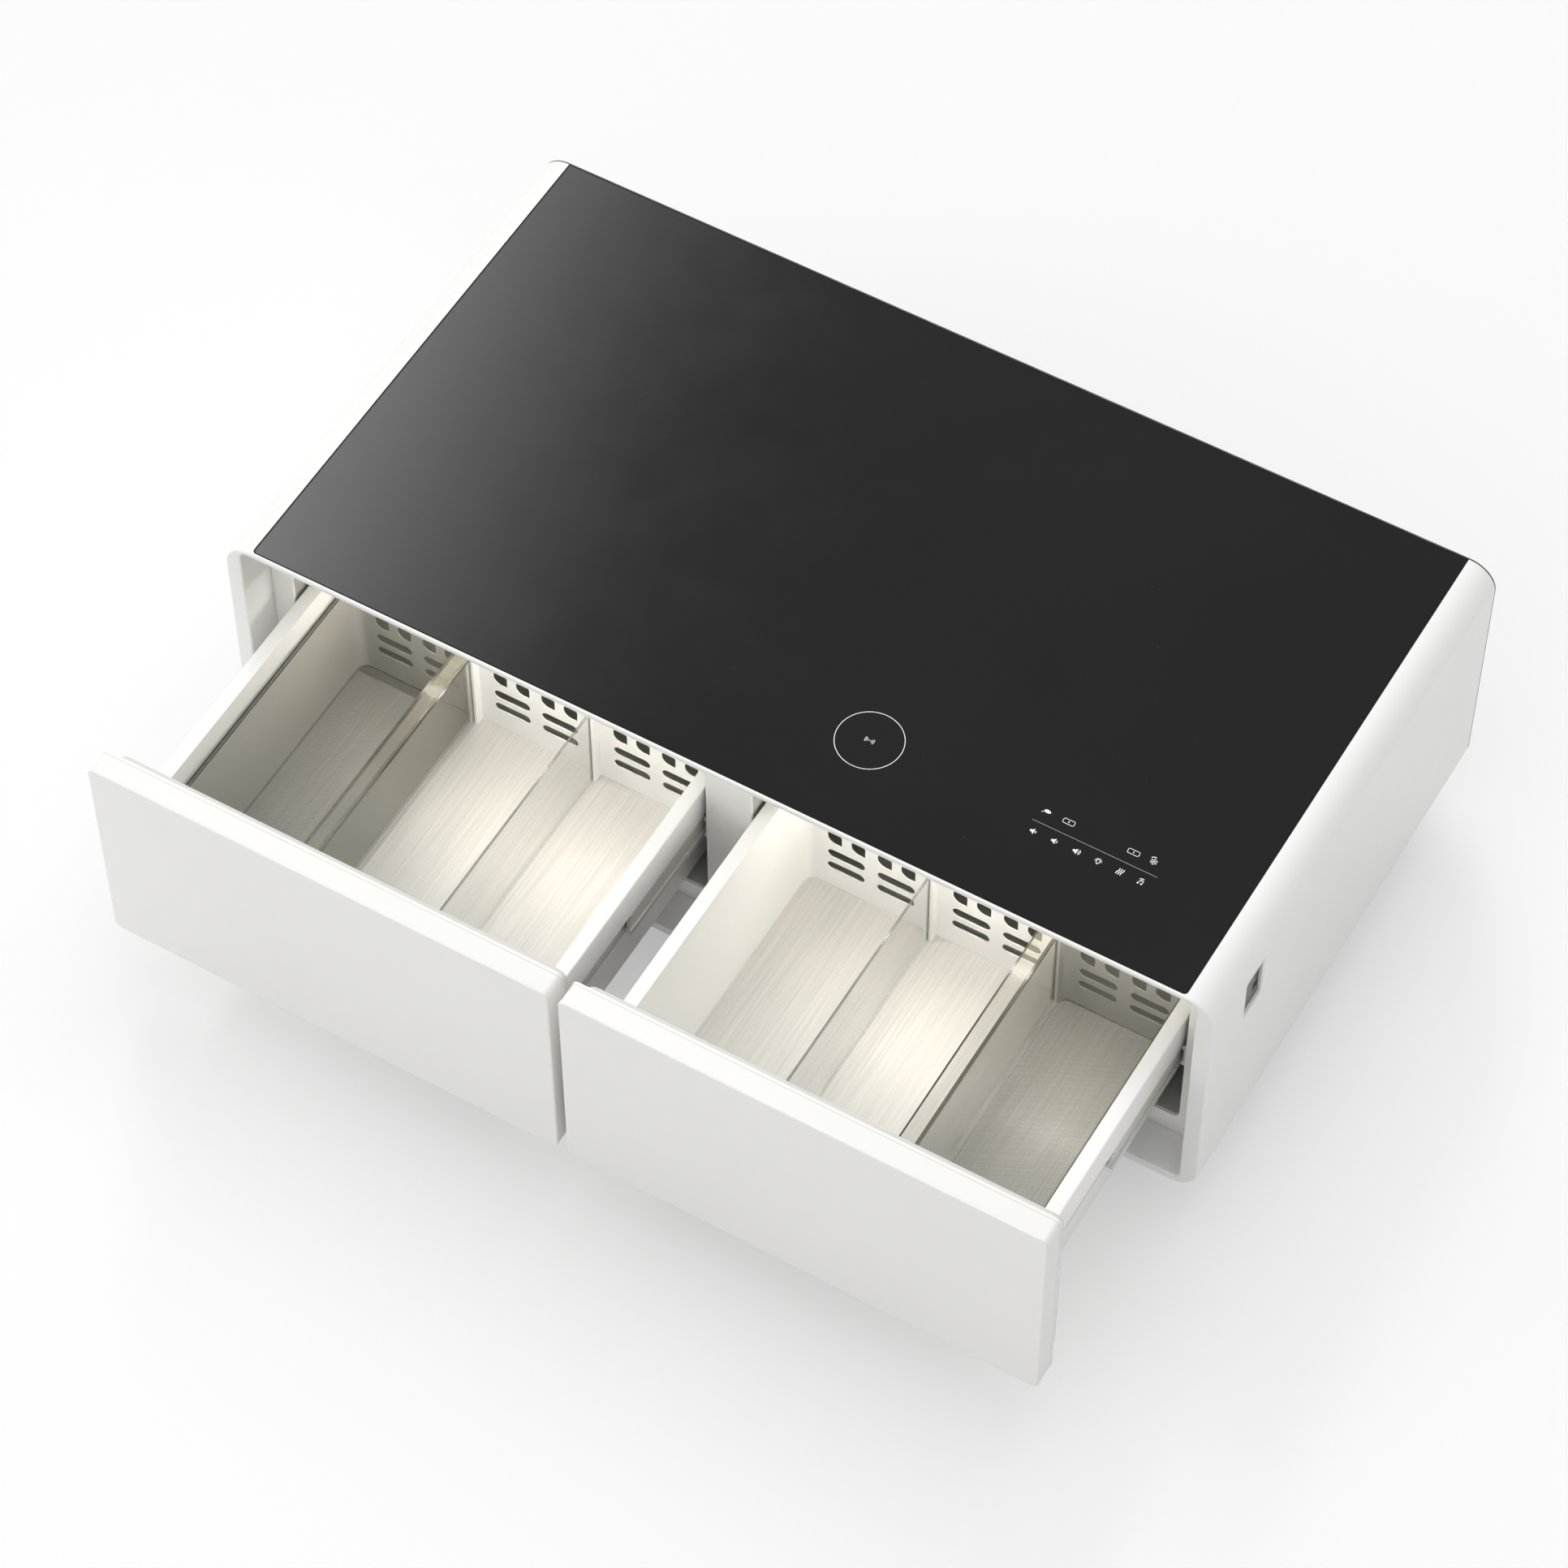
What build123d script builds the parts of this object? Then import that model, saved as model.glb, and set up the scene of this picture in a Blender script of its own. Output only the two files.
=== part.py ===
"""Refrigerator coffee table: two cooled drawers side by side under a flush glass top.

Millimetres, +Z up, the drawers open towards -Y. The origin is on the floor, under the
middle of the table as it stands with both drawers pulled out.
"""
from build123d import *
import os

os.makedirs("parts", exist_ok=True)

# Overall sizes
table_width = 1300.0
table_height = 460.0
foot_height = 29.0
plinth_height = 58.0
shell_depth = 705.0
overrun = 6.0
fit_gap = 0.3

# Outer shell
shell_skin = 3.0
top_corner_radius = 37.0
bottom_corner_radius = 33.0
side_lip = 22.0
top_lip = 14.0
front_lip = 5.5
lip_slope = 8.3
bottom_lip = 12.0
lip_edge_radius = 2.5
recess_depth = 53.0
recess_corner_radius = 10.0
boss_radius = 8.0
boss_length = 22.0
boss_edge_distance = 10.0
boss_corner_distance = 60.0
low_boss_inset = 220.0

# Glass top and its seal
glass_side_margin = 38.5
glass_front_margin = 5.0
glass_thickness = 5.0
glass_set_down = 0.4
glass_corner_radius = 4.0
glass_edge_bevel = 0.8
seal_width = 1.3
seal_bed = 0.8
seal_drop = 1.0
ledge_width = 16.0
ledge_thickness = 3.0

# Front frame, with one opening for each drawer
frame_thickness = 4.0
opening_drop = 85.0
opening_rise = 44.0
opening_radius = 10.0

# Drawer fronts
front_side_gap = 5.3
front_middle_gap = 12.6
front_overlap = 24.2
front_drop = 43.0
front_rise = 15.5
fascia_thickness = 5.0
core_thickness = 25.0
back_plate_thickness = 4.0
front_corner_radius = 8.0
fascia_edge_radius = 2.2
core_inset = 0.6
gasket_width = 14.0
gasket_overlap = 3.0
gasket_groove = 4.0

# Drawer tubs
tub_side_gap = 5.0
tub_drop = 131.0
rim_height = 37.0
rim_step_height = 17.0
rim_step_inset = 1.5
rim_edge_radius = 2.0
mouth_wall = 1.0
side_draft = 9.5
body_draft = 8.0
body_edge_radius = 4.0
front_wall = 12.0
rear_wall = 5.0
tub_floor = 3.5
tub_floor_clearance = 3.5
tub_corner_radius = 12.0
wall_draft = 2.0
floor_plate = 1.2
bay_count = 3

# Vents in the rear wall of each tub
vents_per_bay = 2
vent_pitch = 67.0
leaf_size = 19.0
leaf_radius = 11.0
leaf_corner_radius = 2.5
leaf_pitch = 31.5
leaf_drop_share = 0.5
slot_length = 50.0
slot_height = 14.5
slot_pitch_share = 0.1272
vent_skin = 1.2
vent_panel_margin = 4.0
first_slot_drop_share = 0.6545

# Ribs that hold the dividers, and the dividers
rib_width = 10.0
rib_depth = 12.0
rib_slot_depth = 4.0
rib_drop = 10.0
divider_thickness = 3.0
divider_drop = 57.0
divider_corner_radius = 8.0

# Fruit bins
bin_wall = 2.5
bin_play = 1.5
bin_drop = 30.0
bin_corner_radius = 14.0
bin_flange_thickness = 2.5
bin_flange = 2.0
bin_hook = 21.0
bin_draft = 4.0

# Drawer slides
slide_end_gap = 26.0
travel_share = 0.815
slide_height = 40.0
slide_drop = 4.0
slide_setback = 2.0
drawer_rail = 6.0
middle_rail = 8.0
cabinet_rail = 7.0
rail_gap = 0.5
rail_groove = 2.0
rail_groove_height = 22.0
rail_edge = 1.5

# Cold compartment behind the drawers
liner_wall = 2.0
rear_zone = 64.0
foam_rear_depth = 30.0
duct_cover_thickness = 2.5
duct_cover_gap = 16.0
duct_slot_width = 6.0
duct_slot_height = 110.0
duct_slot_pitch = 14.0
duct_slot_count = 8
duct_slot_shift = 150.0
evaporator_side_gap = 94.0
evaporator_height_share = 0.738
evaporator_rows = 5
evaporator_setback = 16.0
light_side_gap = 74.0
light_depth = 12.0
light_height = 5.0
light_setback = 20.0

# Fans
cold_fan_radius = 46.0
warm_fan_radius = 54.0
fan_clearance = 3.0
fan_depth = 12.0
fan_hub_radius = 15.0
fan_blades = 7
blade_thickness = 1.6
blade_root_angle = 38.0
blade_tip_angle = 56.0
blade_root_share = 0.9
motor_radius = 12.0
motor_depth = 14.0
motor_arm_width = 6.0
motor_arm_depth = 3.0
motor_arms = 3
motor_ring_width = 4.0
motor_gap = 0.6
shaft_radius = 2.0
shaft_clearance = 0.3
shroud_margin = 1.0
shroud_depth = 20.0
shroud_radius = 6.0

# Tube-on-plate coils
coil_plate = 1.5
coil_tube_radius = 4.0
coil_bend_share = 0.45
coil_seat_share = 0.7
condenser_length = 250.0
condenser_pitch = 30.0
condenser_rows = 7
condenser_share = 0.204

# Compressor
compressor_gap = 27.0
compressor_radius = 56.0
compressor_height = 150.0
compressor_dome = 30.0
seam_height = 6.0
seam_out = 4.0
seam_share = 0.55
mount_length = 176.0
mount_width = 104.0
mount_thickness = 4.0
mount_radius = 12.0
grommet_radius = 9.0
grommet_height = 12.0
grommet_waist = 2.0
grommet_inset = 14.0
terminal_width = 44.0
terminal_depth = 16.0
terminal_height = 46.0
terminal_radius = 3.0
terminal_gap = 2.5
pipe_radius = 3.5
pipe_bend = 16.0
pipe_reach = 24.0
pipe_rise = 6.0
pipe_setback = 14.0
hot_share = 0.4
suction_reach = 42.0
suction_share = 0.68

# Other pieces in the machine compartment
tray_height = 20.0
tray_wall = 2.0
tray_margin = 16.0
tray_depth = 96.0
power_box_inset = 250.0
power_box_width = 150.0
power_box_depth = 50.0
power_box_height = 110.0
power_box_radius = 4.0
speaker_inset = 130.0
speaker_radius = 34.0
speaker_flange = 3.0
speaker_neck = 18.0
speaker_depth = 22.0
speaker_magnet_radius = 22.0
speaker_magnet_depth = 14.0
speaker_cone_depth = 12.0
speaker_bracket_thickness = 3.0
speaker_bracket_width = 40.0
speaker_rise = 190.0

# Rear panel
rear_panel_thickness = 2.0
louvre_width = 5.0
louvre_height = 110.0
louvre_pitch = 17.0
louvre_count = 12
louvre_inset = 410.0
grille_slot_height = 46.0
grille_slots = 5
grille_slot_pitch = 11.0
rear_screw_radius = 2.2
rear_screw_head = 4.2
rear_screw_length = 12.0
rear_screw_slot = 1.2

# Mains inlet
inlet_inset = 55.0
inlet_rise = 62.0
inlet_width = 27.0
inlet_height = 20.0
inlet_depth = 20.0
inlet_wall = 2.0
inlet_flange = 5.0
inlet_flange_thickness = 1.6
inlet_corner = 3.0
pin_width = 4.0
pin_thickness = 2.0
pin_length = 14.0
pin_pitch = 7.0
pin_rise = 4.0

# Electronics under the glass
board_width = 250.0
board_depth = 80.0
board_thickness = 2.0
board_inset = 182.0
board_setback = 80.0
charger_inset = 508.3
charger_setback = 124.9
charger_radius = 42.0
charger_hole = 14.0
charger_thickness = 2.5

# Side port recess
port_setback = 106.5
port_drop = 92.0
port_width = 51.0
port_height = 76.0
port_rim = 5.0
port_bevel = 1.5
port_depth = 5.0
port_wall = 2.0
port_radius = 3.0
usb_width = 13.0
usb_height = 5.6
usb_pitch = 7.0
usb_depth = 14.0
usb_wall = 0.7
usb_bore = 9.0
usb_tongue = 1.8
usb_across = 12.5
usb_drop = 10.5
socket_radius = 4.5
socket_bore = 1.8
socket_depth = 12.0
socket_across = 15.0
socket_rise = 3.5

# Plinth and feet
plinth_side_inset = 62.0
plinth_front_inset = 56.0
plinth_back_inset = 40.0
plinth_wall = 2.0
plinth_radius = 24.0
foot_inset = 34.0
foot_pad_radius = 21.0
foot_pad_slope = 38.0
foot_pad_height = 10.0
foot_stem_radius = 5.0
foot_stem_inside = 14.0
foot_nut_radius = 9.0
foot_nut_height = 6.0
nut_sides = 6

# Places worked out from the sizes
top_z = table_height
shell_bottom_z = foot_height + plinth_height
cabinet_height = table_height - shell_bottom_z
recess_width = table_width - 2 * side_lip
post_width = 2 * front_overlap + front_middle_gap
opening_width = recess_width / 2 - front_side_gap - front_overlap - post_width / 2
opening_height = cabinet_height - opening_drop - opening_rise
front_width = opening_width + 2 * front_overlap
front_height = cabinet_height - front_drop - front_rise
slide_stack = drawer_rail + middle_rail + cabinet_rail + 2 * rail_gap
tub_width = opening_width - 2 * tub_side_gap
body_width = opening_width - 2 * slide_stack
mouth_width = body_width - 2 * mouth_wall
base_width = mouth_width - 2 * side_draft
machine_depth = 2 * (compressor_radius + terminal_depth + terminal_gap)
front_thickness = fascia_thickness + core_thickness + back_plate_thickness
tub_length = shell_depth - machine_depth - foam_rear_depth - liner_wall - rear_zone - front_thickness
slide_length = tub_length - slide_end_gap
drawer_travel = slide_length * travel_share
front_y = (drawer_travel - shell_depth - rear_panel_thickness - inlet_flange_thickness) / 2
back_y = front_y + shell_depth
frame_y = front_y + recess_depth
hollow_y = frame_y + frame_thickness
glass_top_z = top_z - glass_set_down
glass_bottom_z = glass_top_z - glass_thickness
pocket_depth = glass_set_down + glass_thickness + seal_bed
pocket_width = table_width - 2 * glass_side_margin + 2 * seal_width
pocket_front_y = front_y + glass_front_margin - seal_width
glass_width = table_width - 2 * glass_side_margin
glass_front_y = front_y + glass_front_margin
hollow_top_z = top_z - pocket_depth - ledge_thickness
hollow_bottom_z = shell_bottom_z + shell_skin
hollow_width = table_width - 2 * shell_skin
recess_top_z = top_z - top_lip
lip_low_z = top_z - front_lip
recess_bottom_z = shell_bottom_z + bottom_lip
window_width = glass_width - 2 * ledge_width
window_front_y = hollow_y + ledge_width
window_back_y = back_y - ledge_width
drawer_x = (post_width + opening_width) / 2
opening_top_z = top_z - opening_drop
opening_bottom_z = opening_top_z - opening_height
opening_middle_z = (opening_top_z + opening_bottom_z) / 2
open_face_y = front_y - drawer_travel
core_y = open_face_y + fascia_thickness
back_plate_y = core_y + core_thickness
tub_front_y = back_plate_y + back_plate_thickness
tub_back_y = tub_front_y + tub_length
front_top_z = top_z - front_drop
front_bottom_z = front_top_z - front_height
gasket_depth = recess_depth - front_thickness - fit_gap
rim_z = top_z - tub_drop
step_z = rim_z - rim_height
body_top_z = step_z - rim_step_height
tub_bottom_z = opening_bottom_z + tub_floor_clearance
tub_floor_z = tub_bottom_z + tub_floor
plate_top_z = tub_floor_z + floor_plate
tub_depth = rim_z - tub_floor_z
slot_pitch = tub_depth * slot_pitch_share
leaf_z = rim_z - tub_depth * leaf_drop_share
first_slot_z = rim_z - tub_depth * first_slot_drop_share
vent_high_z = leaf_z + leaf_size / 2 + vent_panel_margin
vent_low_z = first_slot_z - slot_pitch - slot_height / 2 - vent_panel_margin
vent_panel_width = vent_pitch + slot_length + 2 * vent_panel_margin
base_front_y = tub_front_y + front_wall
base_back_y = tub_back_y - rear_wall
base_length = base_back_y - base_front_y
base_middle_y = (base_front_y + base_back_y) / 2
bay_width = base_width / bay_count
rib_slot_width = divider_thickness + 2 * fit_gap
slide_top_z = body_top_z - slide_drop
slide_bottom_z = slide_top_z - slide_height
cabinet_slide_y = hollow_y + slide_setback
closed_tub_back_y = tub_back_y + drawer_travel
duct_cover_y = closed_tub_back_y + duct_cover_gap
liner_back_y = closed_tub_back_y + rear_zone
liner_top_z = opening_top_z + liner_wall
liner_bottom_z = opening_bottom_z - liner_wall
liner_outside_x = drawer_x + opening_width / 2 + liner_wall
liner_inside_x = drawer_x - opening_width / 2 - liner_wall
foam_rear_y = liner_back_y + liner_wall
machine_y = foam_rear_y + foam_rear_depth
machine_middle_y = (machine_y + back_y) / 2
port_y = front_y + port_setback
port_z = top_z - port_drop
drawer_sides = (("left", -1), ("right", 1))
screw_x = table_width / 2 - boss_edge_distance
screw_low_z = shell_bottom_z + boss_corner_distance
screw_high_z = top_z - boss_corner_distance
screw_places = [(sign * screw_x, z) for sign in (-1, 1) for z in (screw_low_z, screw_high_z)]
low_boss_x = table_width / 2 - low_boss_inset
screw_places += [(sign * low_boss_x, shell_bottom_z + boss_edge_distance) for sign in (-1, 1)]


def upright(y, x=0.0, z=0.0):
    """Plane that faces the front of the table: its x is +X and its y is +Z."""
    return Plane(origin=(x, y, z), x_dir=(1, 0, 0), z_dir=(0, -1, 0))


def sideways(x, y=0.0, z=0.0):
    """Plane that faces +X: its x is +Y and its y is +Z."""
    return Plane(origin=(x, y, z), x_dir=(0, 1, 0), z_dir=(1, 0, 0))


def rounded_block(width, low, high, radius, x=0.0):
    """Draw a rounded rectangle from low to high in the open sketch."""
    with Locations((x, (low + high) / 2)):
        RectangleRounded(width, high - low, radius)


def keep(piece, name):
    """Label a finished piece and write it as its own file."""
    piece.part.label = name
    export_step(piece.part, f"parts/{name}.step")


# Cabinet shell: one wrapped tube, thickened into a lip round the front recess
with BuildPart() as shell:
    with BuildSketch(upright(front_y)) as outline:
        with Locations((0, (shell_bottom_z + top_z) / 2)):
            Rectangle(table_width, cabinet_height)
        fillet(outline.vertices().group_by(Axis.Y)[-1], radius=top_corner_radius)
        fillet(outline.vertices().group_by(Axis.Y)[0], radius=bottom_corner_radius)
    extrude(amount=-shell_depth)
    with BuildSketch(upright(front_y)):
        rounded_block(recess_width, recess_bottom_z, recess_top_z, recess_corner_radius)
    extrude(amount=-(recess_depth + frame_thickness), mode=Mode.SUBTRACT)
    # Slope that thins the top lip towards its front edge
    for depth, high in ((front_y, lip_low_z), (front_y + lip_slope, recess_top_z)):
        with BuildSketch(upright(depth)):
            rounded_block(recess_width, recess_bottom_z, high, recess_corner_radius)
    loft(mode=Mode.SUBTRACT)
    fillet(shell.faces().sort_by(Axis.Y)[0].edges(), radius=lip_edge_radius)
    with BuildSketch(upright(hollow_y)):
        rounded_block(hollow_width, hollow_bottom_z, hollow_top_z, bottom_corner_radius - shell_skin)
    extrude(amount=-(back_y - hollow_y), mode=Mode.SUBTRACT)
    # Pocket for the glass, open at the back
    with BuildSketch(Plane.XY.offset(top_z)) as pocket:
        with Locations((0, (pocket_front_y + back_y + overrun) / 2)):
            Rectangle(pocket_width, back_y + overrun - pocket_front_y)
        fillet(pocket.vertices().group_by(Axis.Y)[0], radius=glass_corner_radius + seal_width)
    extrude(amount=-pocket_depth, mode=Mode.SUBTRACT)
    # Window inside the ledge that carries the glass
    with BuildSketch(Plane.XY.offset(top_z)):
        rounded_block(window_width, window_front_y, window_back_y, ledge_width)
    extrude(amount=-(pocket_depth + ledge_thickness + overrun), mode=Mode.SUBTRACT)
    # Hole for the side port
    with BuildSketch(sideways(table_width / 2)):
        with Locations((port_y, port_z)):
            RectangleRounded(port_width, port_height, port_radius)
    extrude(amount=-(shell_skin + overrun), mode=Mode.SUBTRACT)
    # Screw bosses for the rear panel
    with BuildSketch(upright(back_y)):
        with Locations(*screw_places):
            Circle(boss_radius)
    extrude(amount=boss_length)
    with BuildSketch(upright(back_y)):
        with Locations(*screw_places):
            Circle(rear_screw_radius)
    extrude(amount=rear_screw_length, mode=Mode.SUBTRACT)
keep(shell, "cabinet_shell")

# Glass top, with a fine bevel round its upper face
with BuildPart() as glass:
    with BuildSketch(Plane.XY.offset(glass_bottom_z)) as pane:
        with Locations((0, (glass_front_y + back_y) / 2)):
            Rectangle(glass_width, back_y - glass_front_y)
        fillet(pane.vertices().group_by(Axis.Y)[0], radius=glass_corner_radius)
    extrude(amount=glass_thickness)
    chamfer(glass.faces().sort_by(Axis.Z)[-1].edges(), length=glass_edge_bevel)
keep(glass, "glass_top")

# Seal: a bed under the edge of the glass and a dark line round three of its sides
with BuildPart() as seal:
    with BuildSketch(Plane.XY.offset(top_z - pocket_depth)) as bed:
        with Locations((0, (pocket_front_y + back_y) / 2)):
            Rectangle(pocket_width, back_y - pocket_front_y)
        fillet(bed.vertices().group_by(Axis.Y)[0], radius=glass_corner_radius + seal_width)
    extrude(amount=pocket_depth - seal_drop)
    with BuildSketch(Plane.XY.offset(glass_bottom_z)) as pane_space:
        with Locations((0, (glass_front_y + back_y + overrun) / 2)):
            Rectangle(glass_width, back_y + overrun - glass_front_y)
        fillet(pane_space.vertices().group_by(Axis.Y)[0], radius=glass_corner_radius)
    extrude(amount=glass_thickness, mode=Mode.SUBTRACT)
    with BuildSketch(Plane.XY.offset(top_z - pocket_depth)):
        rounded_block(window_width, window_front_y, window_back_y, ledge_width)
    extrude(amount=pocket_depth, mode=Mode.SUBTRACT)
keep(seal, "glass_seal")

# Front frame
with BuildPart() as frame:
    with BuildSketch(upright(frame_y)):
        rounded_block(
            recess_width - 2 * fit_gap,
            recess_bottom_z + fit_gap,
            recess_top_z - fit_gap,
            recess_corner_radius,
        )
        with Locations((0, opening_middle_z)):
            with GridLocations(2 * drawer_x, 0, 2, 1):
                RectangleRounded(opening_width, opening_height, opening_radius, mode=Mode.SUBTRACT)
    extrude(amount=-frame_thickness)
keep(frame, "front_frame")


def cavity_liner(side, x):
    """Cold compartment: a thin box, open at the front."""
    with BuildPart() as liner:
        with BuildSketch(upright(hollow_y)):
            rounded_block(
                opening_width + 2 * liner_wall, liner_bottom_z, liner_top_z, opening_radius + liner_wall, x
            )
        extrude(amount=-(foam_rear_y - hollow_y))
        with BuildSketch(upright(hollow_y)):
            rounded_block(opening_width, opening_bottom_z, opening_top_z, opening_radius, x)
        extrude(amount=-(liner_back_y - hollow_y), mode=Mode.SUBTRACT)
    keep(liner, f"{side}_cavity_liner")


for side, sign in drawer_sides:
    cavity_liner(side, sign * drawer_x)


def foam_board(name, front, back, blocks):
    """Foam between the liners and the shell, each block trimmed to the shell's inside."""
    with BuildPart() as foam:
        for x, width, low, high in blocks:
            with BuildSketch(upright(front)):
                rounded_block(hollow_width, hollow_bottom_z, hollow_top_z, bottom_corner_radius - shell_skin)
                with Locations((x, (low + high) / 2)):
                    Rectangle(width, high - low, mode=Mode.INTERSECT)
            extrude(amount=-(back - front))
        # Room behind the side port
        with BuildSketch(sideways(table_width / 2)):
            with Locations((port_y, port_z)):
                Rectangle(port_width, port_height)
        extrude(amount=-(port_depth + usb_depth + port_wall), mode=Mode.SUBTRACT)
        # Corners of the liners
        for sign in (-1, 1):
            with BuildSketch(upright(hollow_y)):
                rounded_block(
                    opening_width + 2 * liner_wall,
                    liner_bottom_z,
                    liner_top_z,
                    opening_radius + liner_wall,
                    sign * drawer_x,
                )
            extrude(amount=-(foam_rear_y - hollow_y), mode=Mode.SUBTRACT)
    keep(foam, name)


side_foam_width = table_width / 2 - liner_outside_x
side_foam_x = (table_width / 2 + liner_outside_x) / 2
foam_board("foam_top", hollow_y, machine_y, [(0, table_width, liner_top_z, top_z)])
foam_board("foam_base", hollow_y, machine_y, [(0, table_width, shell_bottom_z, liner_bottom_z)])
foam_board(
    "foam_uprights",
    hollow_y,
    foam_rear_y,
    [
        (-side_foam_x, side_foam_width, liner_bottom_z, liner_top_z),
        (0, 2 * liner_inside_x, liner_bottom_z, liner_top_z),
        (side_foam_x, side_foam_width, liner_bottom_z, liner_top_z),
    ],
)
foam_board("foam_rear", foam_rear_y, machine_y, [(0, table_width, liner_bottom_z, liner_top_z)])

# Electronics that lie on the foam, under the glass
board_x = table_width / 2 - board_inset
board_front_y = front_y + board_setback
with BuildPart() as board:
    with BuildSketch(Plane.XY.offset(hollow_top_z)):
        rounded_block(board_width, board_front_y, board_front_y + board_depth, port_radius, board_x)
    extrude(amount=board_thickness)
keep(board, "touch_board")

with BuildPart() as charger:
    with BuildSketch(Plane.XY.offset(hollow_top_z)):
        with Locations((table_width / 2 - charger_inset, glass_front_y + charger_setback)):
            Circle(charger_radius)
            Circle(charger_hole, mode=Mode.SUBTRACT)
    extrude(amount=charger_thickness)
keep(charger, "charging_coil")

# Light strips under the ceiling of each cold compartment
with BuildPart() as lights:
    with BuildSketch(Plane.XY.offset(opening_top_z)):
        with Locations((0, hollow_y + light_setback + light_depth / 2)):
            with GridLocations(2 * drawer_x, 0, 2, 1):
                Rectangle(opening_width - 2 * light_side_gap, light_depth)
    extrude(amount=-light_height)
    chamfer(lights.edges().group_by(Axis.Z)[0], length=light_height / 2 - fit_gap)
keep(lights, "light_strips")


# Drawer fronts, tubs and what they hold
def front_slab(name, x, y, thickness, inset, rounded=False):
    """One layer of a drawer front."""
    with BuildPart() as slab:
        with BuildSketch(upright(y)):
            rounded_block(
                front_width - 2 * inset,
                front_bottom_z + inset,
                front_top_z - inset,
                front_corner_radius - inset,
                x,
            )
        extrude(amount=-thickness)
        if rounded:
            fillet(slab.faces().sort_by(Axis.Y)[0].edges(), radius=fascia_edge_radius)
    keep(slab, name)


def gasket(name, x):
    """Magnetic seal that closes on the front frame round the opening, with its bellows groove."""
    inner_width = opening_width + 2 * gasket_overlap
    inner_height = opening_height + 2 * gasket_overlap
    outer_width = inner_width + 2 * gasket_width
    outer_height = inner_height + 2 * gasket_width
    with BuildPart() as ring:
        with BuildSketch(upright(tub_front_y)):
            with Locations((x, opening_middle_z)):
                RectangleRounded(outer_width, outer_height, gasket_width)
                RectangleRounded(inner_width, inner_height, opening_radius, mode=Mode.SUBTRACT)
        extrude(amount=-gasket_depth)
        with BuildSketch(upright(tub_front_y + gasket_groove)):
            with Locations((x, opening_middle_z)):
                RectangleRounded(outer_width, outer_height, gasket_width)
                RectangleRounded(
                    outer_width - 2 * gasket_groove,
                    outer_height - 2 * gasket_groove,
                    gasket_width - gasket_groove,
                    mode=Mode.SUBTRACT,
                )
        extrude(amount=-gasket_groove, mode=Mode.SUBTRACT)
    keep(ring, name)


with BuildSketch() as leaf:
    Rectangle(leaf_size, leaf_size)
    diagonal = Axis((0, 0, 0), (1, 1, 0))
    fillet(leaf.vertices().sort_by(diagonal)[1:], radius=leaf_corner_radius)
    fillet(leaf.vertices().sort_by(diagonal)[0], radius=leaf_radius)


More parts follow.
